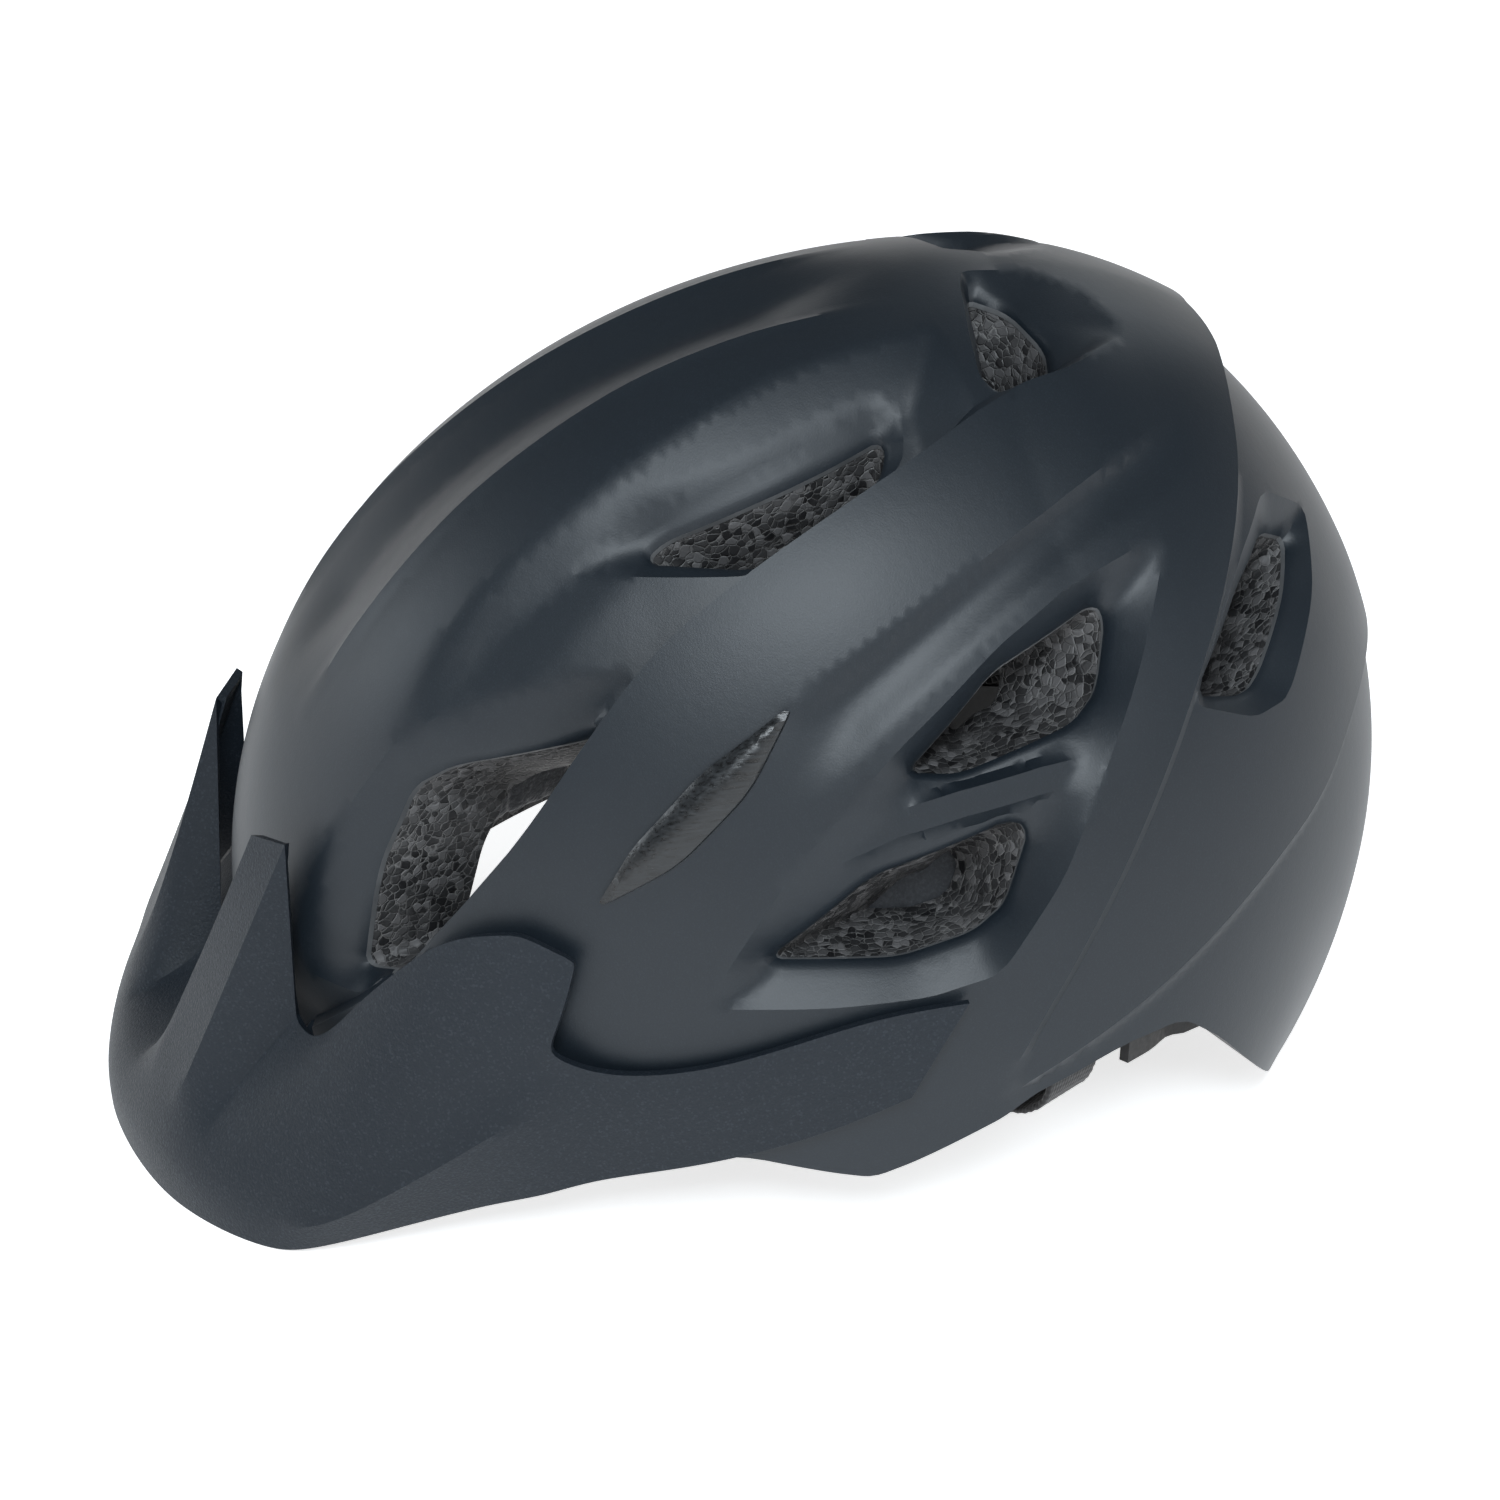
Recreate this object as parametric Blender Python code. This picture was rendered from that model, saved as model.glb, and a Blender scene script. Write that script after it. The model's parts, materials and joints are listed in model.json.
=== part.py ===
"""Trail cycling helmet: foam liner in a moulded skin, detachable visor, dial-fit cradle, webbing and buckle.

Run with: blender --background --python part.py
Lengths below are in millimetres and become metres when a mesh is made. +X is the wearer's left, -Y is
the front, +Z is up, and the helmet stands on its visor lip and its two nape lobes.
"""

import math

import bmesh
import bpy
import numpy as np
from mathutils.geometry import delaunay_2d_cdt

MM = 0.001

# Driving dimensions.
CENTRE_SHIFT = 36.0  # moves the model along Y so that the origin is under the middle of its box
CENTRE = np.array([0.0, 5.6, 45.7])  # middle of the dome, where the chart's rays start
DOME = {"width": 106.3, "front": 157.5, "rear": 111.3, "up": 137.8, "down": 170.0}
CAVITY = {"width": 80.0, "front": 129.0, "rear": 86.0, "up": 106.0, "down": 150.0}
DOME_TUCK = 0.12  # share of the radius that the nape pulls in by
CAVITY_TUCK = 0.07
SKIN = 1.4
GAP = 0.4  # between pieces that touch
FOAM_GAP = 0.6  # along the rays, so that it stays open where the skin is steep
CHART_STEP = 8.0  # degrees between the mesh points of the dome

VISOR_THICK = 2.0
ARM_STAND_OFF = 3.7
DOT = {"radius": 6.0, "thick": 0.7}

DIAL_AT = np.array([0.0, 67.6, 17.0])  # middle of the knob's front face, on the dial's axis
KNOB = {"radius": 13.0, "depth": 8.4, "ribs": 18, "rib": 0.8}
PINION = {"radius": 3.0, "root": 2.2, "teeth": 10, "shaft": 2.6}
HOUSING = {"half": 27.0, "low": 6.0, "high": 28.0, "front": 57.5, "rear": 67.2, "wall": 1.9}
RACK = {"thick": 2.4, "height": 4.8, "middle": 61.0, "off_axis": 5.55}
WEBBING = {"width": 15.0, "thick": 1.2}
BUCKLE_AT = np.array([0.0, 2.0, 5.4])  # middle of the mouth, where the plug goes in

# Outlines on the dome's chart: degrees forward and up from the left ear axis. A point 90 degrees away
# from that axis is on the helmet's middle plane.
RIM = [
    (70, -13), (50, -11.5), (33.5, -10.5), (24, -13.2), (19.5, -14.2), (14.5, -12.2), (2, -6), (-10, -1),
    (-18, 0), (-24.5, -5.5), (-34, -16.5), (-43, -26.5), (-49, -30.5), (-60, -32), (-67, -30.5), (-71.5, -25),
    (-76, -16.5), (-82, -12.5),
]
FRONT_VENT = [(71.5, 4), (66, 5.5), (56.5, 20.5), (45.5, 37.5), (61, 30.5), (65, 27), (68.5, 18)]
UPPER_VENT = [(41, 55), (39, 57.5), (11, 69.5), (13, 63), (16, 59), (22.5, 55.5), (29, 55)]
CROWN_VENT = [(-5.5, 86), (-10.5, 83), (-13, 77), (-11.5, 72.5), (-3.5, 70.5), (-2.5, 72)]
EAR_VENT_HIGH = [(14.5, 34.5), (3, 44.5), (-10.5, 50), (-12, 48.5), (-9.5, 41), (-6, 38), (8.5, 34)]
EAR_VENT_LOW = [(31.5, 13), (19.5, 23), (2.5, 28.5), (0.5, 27), (4, 18.5), (8, 15.5), (17, 13)]
REAR_VENT = [(-22, 38), (-31.5, 48), (-39.5, 53.5), (-46, 52), (-41.5, 46), (-33, 38), (-30, 36.5)]
VENTS = [FRONT_VENT, UPPER_VENT, CROWN_VENT, EAR_VENT_HIGH, EAR_VENT_LOW, REAR_VENT]

# Each vent lies in a pocket, whose floor falls by a depth from the pocket's outline to the vent's edge.
CROWN_POCKET = [(-1, 88), (-14, 86), (-25, 79), (-23, 75), (-12, 70.5), (-2, 69)]
POCKETS = [
    (FRONT_VENT, 5.0, [(75, 1), (67, 0), (55, 17), (43.5, 37), (39, 44.5), (48, 42), (57.5, 37.5), (67, 29),
                       (72, 18)]),
    (UPPER_VENT, 6.0, [(47, 52.5), (33, 66.5), (22, 72), (2, 78), (9, 66), (17, 58), (24, 53), (32, 52)]),
    (CROWN_VENT, 4.5, CROWN_POCKET),
    (EAR_VENT_HIGH, 6.0, [(17.5, 33.5), (3, 47.5), (-10, 53), (-20, 54.5), (-13, 38), (-7, 35), (9, 32)]),
    (EAR_VENT_LOW, 6.0, [(37, 8), (20, 26), (2, 31.5), (-3, 29.5), (3, 14), (10, 9), (25, 8)]),
    (REAR_VENT, 4.0, [(-19.5, 36), (-30, 50), (-39, 57), (-49, 54), (-44, 44.5), (-35, 34), (-29, 33.5)]),
]
# How far each vent narrows on its way through the foam, as a share of its size.
VENT_TAPER = [0.20, 0.45, 0.40, 0.45, 0.50, 0.45]
TAPER_REACH = 9.0  # degrees around a vent that the narrowing bends the cavity's mesh
CROWN_GROOVE = [
    (80, 36), (68, 55), (53.5, 70.5), (39.5, 78), (20, 84), (13, 82), (25, 76.5), (39, 70.5), (51.5, 61.5),
    (65.5, 46.5), (76.5, 33),
]
SIDE_INSERT = [(46, 18.5), (42, 25.5), (35, 33.5), (25, 41), (30.5, 32), (38, 24)]
INSERT_MIDDLE = [(42.5, 21.5), (36.5, 28.5), (28.5, 36.5)]
# Raised lines: path, height and half width in degrees.
RIDGES = [
    ([(44, 37), (38, 43.5), (25.5, 53.5), (16.5, 58), (8.5, 63), (-1, 66.5), (-20, 73)], 2.4, 5.0),
    ([(25, 42), (14, 51), (3, 56.5), (-12, 62), (-24, 67)], 1.6, 3.5),
    ([(-20, 56), (-14, 44), (-6, 28), (-1.5, 13), (4.5, -4)], 1.6, 4.0),
]
REAR_EDGE = [(-41, 88), (-41, 77), (-35, 68), (-29.5, 58.5), (-23.5, 47), (-19.5, 38)]
REAR_EDGE_HEIGHT = 6.0
REAR_EDGE_REACH = 30.0  # degrees over which the rise starts in front of the edge
REAR_EDGE_DROP = 3.0  # degrees over which it falls behind the edge
GROOVE_DEPTH = 2.4

# Half of the visor's outer face, from the middle out. Each column runs from the lower edge upwards.
VISOR_FRONT = [
    [(0, -184, 0), (0, -184.5, 9), (0, -180, 17), (0, -173, 20.5), (0, -163, 24), (0, -155, 30)],
    [(14, -182.6, 0), (14, -183, 9), (13, -178.5, 17.5), (12, -172.5, 21.5), (13, -163, 25), (15, -154.5, 31)],
    [(27, -180, 0), (27, -180.5, 10), (24, -176, 21), (22, -170, 32), (27, -160, 55), (33, -149.5, 82)],
    [(40, -176, 0), (40, -176.5, 10), (40, -172.5, 21), (40, -166.5, 33), (41, -156, 56), (43, -143.5, 84)],
    [(50, -171, 0), (50, -171.5, 10), (49.5, -167, 18), (48, -162, 26), (48, -154, 36), (50, -146, 46)],
    [(60, -164, 0), (60, -164, 9), (58, -160, 18), (56, -154, 27), (56, -148, 34), (57, -142, 42)],
    [(68, -156, 0), (68.5, -155, 7), (67, -150, 20), (65, -143, 34), (64, -137, 46), (63, -132, 56)],
    [(72.5, -149, 1), (74.5, -146, 7), (74, -140, 25), (73, -133, 41), (71.5, -127, 55), (70, -121, 69)],
    [(77, -128, 7), (79, -128.5, 19), (79.5, -124, 34), (79.5, -119, 47), (78, -115.5, 62), (76, -113, 76)],
    [(81.5, -110, 12.5), (84, -112, 32), (84.5, -108, 42), (85, -104, 53), (84, -102, 66), (82.5, -101, 78)],
    [(86, -99, 15.5), (88, -100, 41), (88.5, -98.5, 47), (88.5, -97.5, 52.5), (89, -93.5, 63), (88, -90.5, 73)],
]
# The arm is given by (y, z) only: it follows the dome at a constant stand-off.
VISOR_ARM = [
    [(-87, 19.5), (-87, 38), (-86.5, 42), (-86, 45.5)],
    [(-68, 24.5), (-68, 38), (-67.5, 43), (-67, 48)],
    [(-48, 31), (-48.5, 43), (-48, 49), (-47.5, 55)],
    [(-34, 37), (-33, 48), (-32, 55), (-30, 61)],
    [(-24, 41.5), (-20, 49), (-16, 56), (-12, 62.5)],
]

COLOURS = {
    "skin": (0.022, 0.030, 0.038, 0.45, 0.0),
    "foam": (0.020, 0.020, 0.022, 0.90, 0.0),
    "visor": (0.030, 0.036, 0.046, 0.60, 0.0),
    "insert": (0.012, 0.015, 0.018, 0.22, 0.0),
    "nylon": (0.015, 0.015, 0.016, 0.50, 0.0),
    "dial": (0.060, 0.065, 0.070, 0.55, 0.0),
    "pad": (0.018, 0.018, 0.020, 0.95, 0.0),
    "webbing": (0.012, 0.012, 0.013, 0.85, 0.0),
    "buckle": (0.014, 0.014, 0.015, 0.40, 0.0),
}


def clear_scene():
    for obj in list(bpy.data.objects):
        bpy.data.objects.remove(obj)


def make_material(kind, name):
    red, green, blue, rough, metal = COLOURS[kind]
    material = bpy.data.materials.new(name)
    material.use_nodes = True
    shader = material.node_tree.nodes["Principled BSDF"]
    shader.inputs["Base Color"].default_value = (red, green, blue, 1.0)
    shader.inputs["Roughness"].default_value = rough
    shader.inputs["Metallic"].default_value = metal
    return material


def make_object(name, points, faces, kind, pivot=(0.0, 0.0, 0.0)):
    """One closed piece from points in millimetres; its origin is at the pivot."""
    pivot = np.asarray(pivot, float)
    mesh = bpy.data.meshes.new(name)
    local = (np.asarray(points, float) - pivot) * MM
    mesh.from_pydata(local.tolist(), [], [list(map(int, face)) for face in faces])
    mesh.validate()
    work = bmesh.new()
    work.from_mesh(mesh)
    bmesh.ops.recalc_face_normals(work, faces=work.faces)
    bmesh.ops.triangulate(work, faces=work.faces)
    work.to_mesh(mesh)
    work.free()
    mesh.shade_smooth()
    mesh.set_sharp_from_angle(angle=math.radians(35))
    mesh.materials.append(make_material(kind, name))
    obj = bpy.data.objects.new(name, mesh)
    bpy.context.scene.collection.objects.link(obj)
    obj.parent = RIG
    obj.location = (pivot * MM).tolist()
    return obj


# The dome's chart.


def directions(chart):
    """Unit rays of chart points, given as degrees forward and up from the +X axis."""
    chart = np.atleast_2d(np.asarray(chart, float))
    away = np.radians(np.hypot(chart[:, 0], chart[:, 1]))
    turn = np.arctan2(chart[:, 1], chart[:, 0])
    return np.column_stack([np.cos(away), -np.sin(away) * np.cos(turn), np.sin(away) * np.sin(turn)])


def ellipsoid(rays, size):
    """How far each ray runs before it meets an ellipsoid with different front, rear, upper and lower halves."""
    length = np.where(rays[:, 1] < 0, size["front"], size["rear"])
    height = np.where(rays[:, 2] > 0, size["up"], size["down"])
    halves = np.column_stack([np.full(len(rays), size["width"]), length, height])
    return 1.0 / np.linalg.norm(rays / halves, axis=1)


def smooth(value):
    value = np.clip(value, 0.0, 1.0)
    return value * value * (3.0 - 2.0 * value)


def nape_share(rays):
    """0 over most of the dome, rising to 1 at the lower back, where the head's nape is."""
    off_rear = np.degrees(np.arctan2(np.abs(rays[:, 0]), rays[:, 1]))
    rise = np.degrees(np.arcsin(np.clip(rays[:, 2], -1, 1)))
    return smooth((80.0 - off_rear) / 45.0) * np.clip((35.0 - rise) / 60.0, 0.0, 1.2) ** 1.6


def dome_radius(rays):
    return ellipsoid(rays, DOME) * (1.0 - DOME_TUCK * nape_share(rays))


def cavity_radius(rays):
    return ellipsoid(rays, CAVITY) * (1.0 - CAVITY_TUCK * nape_share(rays))


def distance_to(points, path, closed):
    """Distance of each chart point to a path, in degrees."""
    path = np.asarray(path, float)
    ends = np.roll(path, -1, axis=0) if closed else path[1:]
    starts = path if closed else path[:-1]
    best = np.full(len(points), np.inf)
    for start, end in zip(starts, ends):
        run = end - start
        along = np.clip(((points - start) @ run) / (run @ run), 0.0, 1.0)
        best = np.minimum(best, np.linalg.norm(points - start - along[:, None] * run, axis=1))
    return best


def inside(points, loop):
    loop = np.asarray(loop, float)
    found = np.zeros(len(points), bool)
    for (x0, y0), (x1, y1) in zip(loop, np.roll(loop, -1, axis=0)):
        crosses = (y0 > points[:, 1]) != (y1 > points[:, 1])
        with np.errstate(divide="ignore", invalid="ignore"):
            at = x0 + (points[:, 1] - y0) * (x1 - x0) / (y1 - y0)
        found ^= crosses & (points[:, 0] < at)
    return found


def relief(chart, seat=3.0):
    """Height of the skin above the plain dome, in millimetres; the side inserts' seats are sunk in it."""
    chart = np.atleast_2d(np.asarray(chart, float))
    height = np.zeros(len(chart))
    for path, rise, half in RIDGES:
        height += rise * np.clip(1.0 - distance_to(chart, path, False) / half, 0.0, 1.0)
    to_edge = distance_to(chart, REAR_EDGE, False)
    edge_at, edge_up = np.array(REAR_EDGE[::-1]).T
    in_front = chart[:, 0] > np.interp(chart[:, 1], edge_up, edge_at)
    share = smooth((chart[:, 1] - 40.0) / 35.0)
    reach = np.where(in_front, REAR_EDGE_REACH, REAR_EDGE_DROP)
    height += REAR_EDGE_HEIGHT * share * np.clip(1.0 - to_edge / reach, 0.0, 1.0)
    groove = np.where(inside(chart, CROWN_GROOVE), distance_to(chart, CROWN_GROOVE, True), 0.0)
    height -= GROOVE_DEPTH * smooth(groove / 3.0)
    for vent, depth, pocket in POCKETS:
        within = inside(chart, pocket)
        to_pocket = distance_to(chart, pocket, True)
        to_vent = np.where(inside(chart, vent), 0.0, distance_to(chart, vent, True))
        share = to_pocket / np.maximum(to_pocket + to_vent, 1e-6)
        height = np.where(within, height - depth * share, height)
    within = np.where(inside(chart, SIDE_INSERT), distance_to(chart, SIDE_INSERT, True), 0.0)
    return height - seat * smooth(within / 1.2)


def divided(path, step, closed):
    """The path with points added so that none are further apart than the step."""
    path = [np.asarray(point, float) for point in path]
    ends = path[1:] + path[:1] if closed else path[1:]
    out = []
    for start, end in zip(path, ends):
        count = max(1, math.ceil(np.linalg.norm(end - start) / step))
        out += [start + (end - start) * i / count for i in range(count)]
    return out if closed else out + [path[-1]]


def rounded(loop, share=0.22):
    """The loop with each corner cut back to two points."""
    out = []
    for before, corner, after in zip(loop[-1:] + loop[:-1], loop, loop[1:] + loop[:1]):
        corner = np.asarray(corner, float)
        out.append(corner + share * (np.asarray(before) - corner))
        out.append(corner + share * (np.asarray(after) - corner))
    return out


def half_outline(rim):
    """The rim from brow to nape, closed over the top along the middle plane."""
    brow_turn = math.radians(-6.6)
    nape_turn = math.radians(187.0)
    count = 32
    turns = [nape_turn + (brow_turn - nape_turn) * i / count for i in range(count + 1)]
    middle = [90.0 * np.array([math.cos(t), math.sin(t)]) for t in turns]
    return divided(rim, CHART_STEP * 0.8, False) + middle


def chart_sheet(outline, holes, lines, step):
    """Triangles over a chart region with holes; lines become edges. Returns (chart points, faces)."""
    points, edges = [], []
    paths = [(outline, True)] + [(hole, True) for hole in holes] + [(line, False) for line in lines]
    for path, closed in paths:
        first = len(points)
        points += [tuple(point) for point in path]
        edges += [(first + i, first + i + 1) for i in range(len(path) - 1)]
        if closed:
            edges.append((len(points) - 1, first))
    fixed = np.array(points)
    low, high = fixed.min(axis=0), fixed.max(axis=0)
    row_height = step * math.sqrt(3) / 2
    lattice = [
        (low[0] + step * (column + 0.5 * (row % 2)), low[1] + row_height * row)
        for row in range(int((high[1] - low[1]) / row_height) + 2)
        for column in range(int((high[0] - low[0]) / step) + 2)
    ]
    lattice = np.array(lattice)
    keep = inside(lattice, outline) & (np.hypot(*lattice.T) < 90.0 - 0.4 * step)
    for path, closed in paths:
        keep &= distance_to(lattice, path, closed) > 0.45 * step
    for hole in holes:
        keep &= ~inside(lattice, hole)
    points += [tuple(point) for point in lattice[keep]]
    found = delaunay_2d_cdt(points, edges, [], 0, 1e-6)
    chart = np.array([tuple(point) for point in found[0]])
    faces = np.array(found[2])
    corners = chart[faces]
    first, second = corners[:, 1] - corners[:, 0], corners[:, 2] - corners[:, 0]
    middle = corners.mean(axis=1)
    doubled_area = np.abs(first[:, 0] * second[:, 1] - first[:, 1] * second[:, 0])
    wanted = inside(middle, outline) & (doubled_area > 0.02)
    for hole in holes:
        wanted &= ~inside(middle, hole)
    return chart, faces[wanted]


def facing_out(rays, faces):
    """The faces, each turned so that its normal points away from the chart's middle."""
    corners = rays[faces]
    normals = np.cross(corners[:, 1] - corners[:, 0], corners[:, 2] - corners[:, 0])
    facing = np.einsum("ij,ij->i", normals, corners[:, 0])
    return np.where(facing[:, None] < 0, faces[:, ::-1], faces)


def both_sides(chart, faces):
    """A chart sheet and its mirror image, joined along the middle plane: rays, chart points, outward faces."""
    rays = directions(chart)
    seam = np.hypot(chart[:, 0], chart[:, 1]) > 89.99
    rays[seam, 0] = 0.0
    faces = facing_out(rays, faces)
    twin = np.arange(len(chart))
    twin[~seam] = len(chart) + np.arange((~seam).sum())
    all_rays = np.vstack([rays, rays[~seam] * [-1.0, 1.0, 1.0]])
    return all_rays, np.vstack([chart, chart[~seam]]), np.vstack([faces, twin[faces][:, ::-1]])


def thicken(outer, inner, faces):
    """A closed solid between two sheets that share their faces."""
    count = len(outer)
    faces = [list(face) for face in faces]
    directed = {(face[i], face[(i + 1) % len(face)]) for face in faces for i in range(len(face))}
    walls = [[b, a, a + count, b + count] for a, b in directed if (b, a) not in directed]
    backs = [[corner + count for corner in reversed(face)] for face in faces]
    return np.vstack([outer, inner]), faces + backs + sorted(walls)


def used_only(arrays, faces):
    """Drops the points that no face uses."""
    used = np.unique(faces)
    place = np.zeros(len(arrays[0]), int)
    place[used] = np.arange(len(used))
    return [array[used] for array in arrays], place[faces]


def tapered(chart):
    """Chart points moved towards nearby vents' middles, for the cavity side of the foam."""
    moved = chart.copy()
    for vent, share in zip(VENTS, VENT_TAPER):
        middle = np.mean(vent, axis=0)
        near = smooth(1.0 - distance_to(chart, rounded(vent), True) / TAPER_REACH)
        near = np.where(np.hypot(chart[:, 0], chart[:, 1]) > 89.9, 0.0, near)
        moved += (middle - chart) * (share * near)[:, None]
    return moved


# Pieces of the shell.


def dome_sheet():
    """The sheet that the skin and the foam share, so that they keep an even gap."""
    holes = [divided(rounded(vent), CHART_STEP * 0.75, True) for vent in VENTS]
    loops = [pocket for _, _, pocket in POCKETS if pocket is not CROWN_POCKET] + [SIDE_INSERT]
    lines = [divided(loop + loop[:1], CHART_STEP, False) for loop in loops] + [INSERT_MIDDLE]
    chart, faces = chart_sheet(half_outline(RIM), holes, lines, CHART_STEP)
    rays, chart, faces = both_sides(chart, faces)
    (rays, chart), faces = used_only([rays, chart], faces)
    return rays, chart, faces


def make_outer_shell():
    rays, chart, faces = dome_sheet()
    radius = dome_radius(rays) + relief(chart)
    outer = CENTRE + rays * radius[:, None]
    inner = CENTRE + rays * (radius - SKIN)[:, None]
    make_object("outer_shell", *thicken(outer, inner, faces), "skin")


def make_eps_liner():
    rays, chart, faces = dome_sheet()
    radius = dome_radius(rays) + relief(chart) - SKIN - FOAM_GAP
    outer = CENTRE + rays * radius[:, None]
    sides = np.where(rays[:, :1] < 0, -1.0, 1.0)
    inward = directions(tapered(chart))
    inward[:, 0] = np.where(np.abs(rays[:, 0]) < 1e-9, 0.0, inward[:, 0] * sides[:, 0])
    inner = CENTRE + inward * cavity_radius(inward)[:, None]
    make_object("eps_liner", *thicken(outer, inner, faces), "foam")


def make_side_insert(name, side):
    """The spindle-shaped gloss trim in its seat on each temple."""
    chart, faces = chart_sheet(divided(SIDE_INSERT, 5.0, True), [], [], 3.0)
    rays = directions(chart)
    faces = facing_out(rays, faces)
    crown = smooth(distance_to(chart, SIDE_INSERT, True) / 2.5)
    base = dome_radius(rays) + relief(chart, seat=0.0)
    outer = CENTRE + rays * (base + 0.9 + 1.2 * crown)[:, None]
    inner = CENTRE + rays * (base + 0.5 - 1.2 * crown)[:, None]
    points, faces = thicken(outer * [side, 1, 1], inner * [side, 1, 1], faces)
    make_object(name, points, faces, "insert")


def over_dome(y, z, stand_off):
    """The point at this height and depth that stands off the left side of the dome."""
    rel_y, rel_z = y - CENTRE[1], z - CENTRE[2]
    length = DOME["front"] if rel_y < 0 else DOME["rear"]
    height = DOME["up"] if rel_z > 0 else DOME["down"]
    width = DOME["width"]
    x = width * math.sqrt(1.0 - (rel_y / length) ** 2 - (rel_z / height) ** 2)
    normal = np.array([x / width**2, rel_y / length**2, rel_z / height**2])
    return np.array([x, y, z]) + stand_off * normal / np.linalg.norm(normal)


def make_visor():
    columns = [[np.array(point, float) for point in column] for column in VISOR_FRONT]
    columns += [[over_dome(y, z, ARM_STAND_OFF) for y, z in column] for column in VISOR_ARM]
    points, index = [], []
    for column in columns:
        index.append([len(points) + row for row in range(len(column))])
        points += column
    mirrored = [list(index[0])]
    for column in columns[1:]:
        mirrored.append([len(points) + row for row in range(len(column))])
        points += [point * [-1.0, 1.0, 1.0] for point in column]
    faces = []
    for left, right in zip(index, index[1:]):
        for row in range(min(len(left), len(right)) - 1):
            faces.append([left[row], right[row], right[row + 1], left[row + 1]])
    for left, right in zip(mirrored, mirrored[1:]):
        for row in range(min(len(left), len(right)) - 1):
            faces.append([right[row], left[row], left[row + 1], right[row + 1]])
    points = np.array(points)
    normals = np.zeros_like(points)
    for a, b, c, d in faces:
        normals[[a, b, c, d]] += np.cross(points[c] - points[a], points[d] - points[b])
    normals /= np.linalg.norm(normals, axis=1)[:, None]
    inner = points - VISOR_THICK * normals
    inner[:, 2] = np.where(points[:, 2] < 0.1, 0.0, np.maximum(inner[:, 2], 0.0))
    make_object("visor", *thicken(points, inner, faces), "visor")


# Strips, boxes and turned pieces.


def ribbon(path, across, widths, thick):
    """A flat strip along a path: its width lies along the across direction."""
    path = np.asarray(path, float)
    across = np.broadcast_to(np.asarray(across, float), path.shape)
    widths = np.broadcast_to(np.asarray(widths, float), (len(path),))
    along = np.gradient(path, axis=0)
    along /= np.linalg.norm(along, axis=1)[:, None]
    side = across - along * np.einsum("ij,ij->i", across, along)[:, None]
    side /= np.linalg.norm(side, axis=1)[:, None]
    normal = np.cross(along, side)
    points, faces = [], []
    for at, wide, edge, face in zip(path, widths, side, normal):
        for a, b in ((-1, -1), (1, -1), (1, 1), (-1, 1)):
            points.append(at + edge * a * wide / 2 + face * b * thick / 2)
    for i in range(len(path) - 1):
        for k in range(4):
            n = (k + 1) % 4
            faces.append([4 * i + k, 4 * i + n, 4 * i + 4 + n, 4 * i + 4 + k])
    last = 4 * (len(path) - 1)
    return points, faces + [[3, 2, 1, 0], [last, last + 1, last + 2, last + 3]]


def curve_through(points, count):
    """Evenly spread points on a smooth curve through the given ones."""
    points = np.asarray(points, float)
    ends = np.vstack([2 * points[0] - points[1], points, 2 * points[-1] - points[-2]])
    out = []
    for a, b, c, d in zip(ends, ends[1:], ends[2:], ends[3:]):
        bend, twist = 2 * a - 5 * b + 4 * c - d, 3 * b - a - 3 * c + d
        for t in np.linspace(0, 1, 12, endpoint=False):
            out.append(b + 0.5 * ((c - a) * t + bend * t**2 + twist * t**3))
    out = np.array(out + [points[-1]])
    run = np.concatenate([[0], np.cumsum(np.linalg.norm(np.diff(out, axis=0), axis=1))])
    spots = np.linspace(0, run[-1], count)
    return np.column_stack([np.interp(spots, run, out[:, i]) for i in range(3)])


def slab(low, high):
    """The corners and faces of a box."""
    points = [(x, y, z) for z in (low[2], high[2]) for y in (low[1], high[1]) for x in (low[0], high[0])]
    faces = [[0, 2, 3, 1], [4, 5, 7, 6], [0, 1, 5, 4], [1, 3, 7, 5], [3, 2, 6, 7], [2, 0, 4, 6]]
    return points, faces


def prism(outline, low, high, axis):
    """An outline pushed from low to high along an axis (0 = X, 1 = Y, 2 = Z)."""
    def place(point, depth):
        spot = list(point)
        spot.insert(axis, depth)
        return spot

    count = len(outline)
    points = [place(point, low) for point in outline] + [place(point, high) for point in outline]
    faces = [list(range(count))[::-1], list(range(count, 2 * count))]
    faces += [[i, (i + 1) % count, count + (i + 1) % count, count + i] for i in range(count)]
    return points, faces


def ring_of(radius, count, middle=(0.0, 0.0)):
    turns = [2 * math.pi * i / count for i in range(count)]
    return [(middle[0] + radius * math.cos(t), middle[1] + radius * math.sin(t)) for t in turns]


def stud(at, out, edge, radius, depths, count=16):
    """A short round piece on a wall: out is the wall's normal and edge a direction along it."""
    up = np.cross(out, edge)
    points = [at + out * depth + edge * u + up * v for depth in depths for u, v in ring_of(radius, count)]
    faces = [list(range(count))[::-1], list(range(count, 2 * count))]
    faces += [[i, (i + 1) % count, count + (i + 1) % count, count + i] for i in range(count)]
    return np.array(points), faces


def bevelled(obj, width):
    modifier = obj.modifiers.new("Bevel", "BEVEL")
    modifier.width = width * MM
    modifier.segments = 2
    modifier.limit_method = "ANGLE"
    modifier.angle_limit = math.radians(50)
    return obj


def cavity_point(turn, z, inset):
    """The point at height z that stands inside the cavity wall; turn is degrees from +X towards +Y."""
    flat = np.array([math.cos(math.radians(turn)), math.sin(math.radians(turn)), 0.0])
    rel_z = z - CENTRE[2]
    reach = 80.0
    for _ in range(12):
        ray = flat * reach + [0, 0, rel_z]
        ray /= np.linalg.norm(ray)
        radius = cavity_radius(ray[None])[0]
        reach = math.sqrt(max(radius**2 - rel_z**2, 1.0))
    return CENTRE + flat * (reach - inset) + [0, 0, rel_z]


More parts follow.
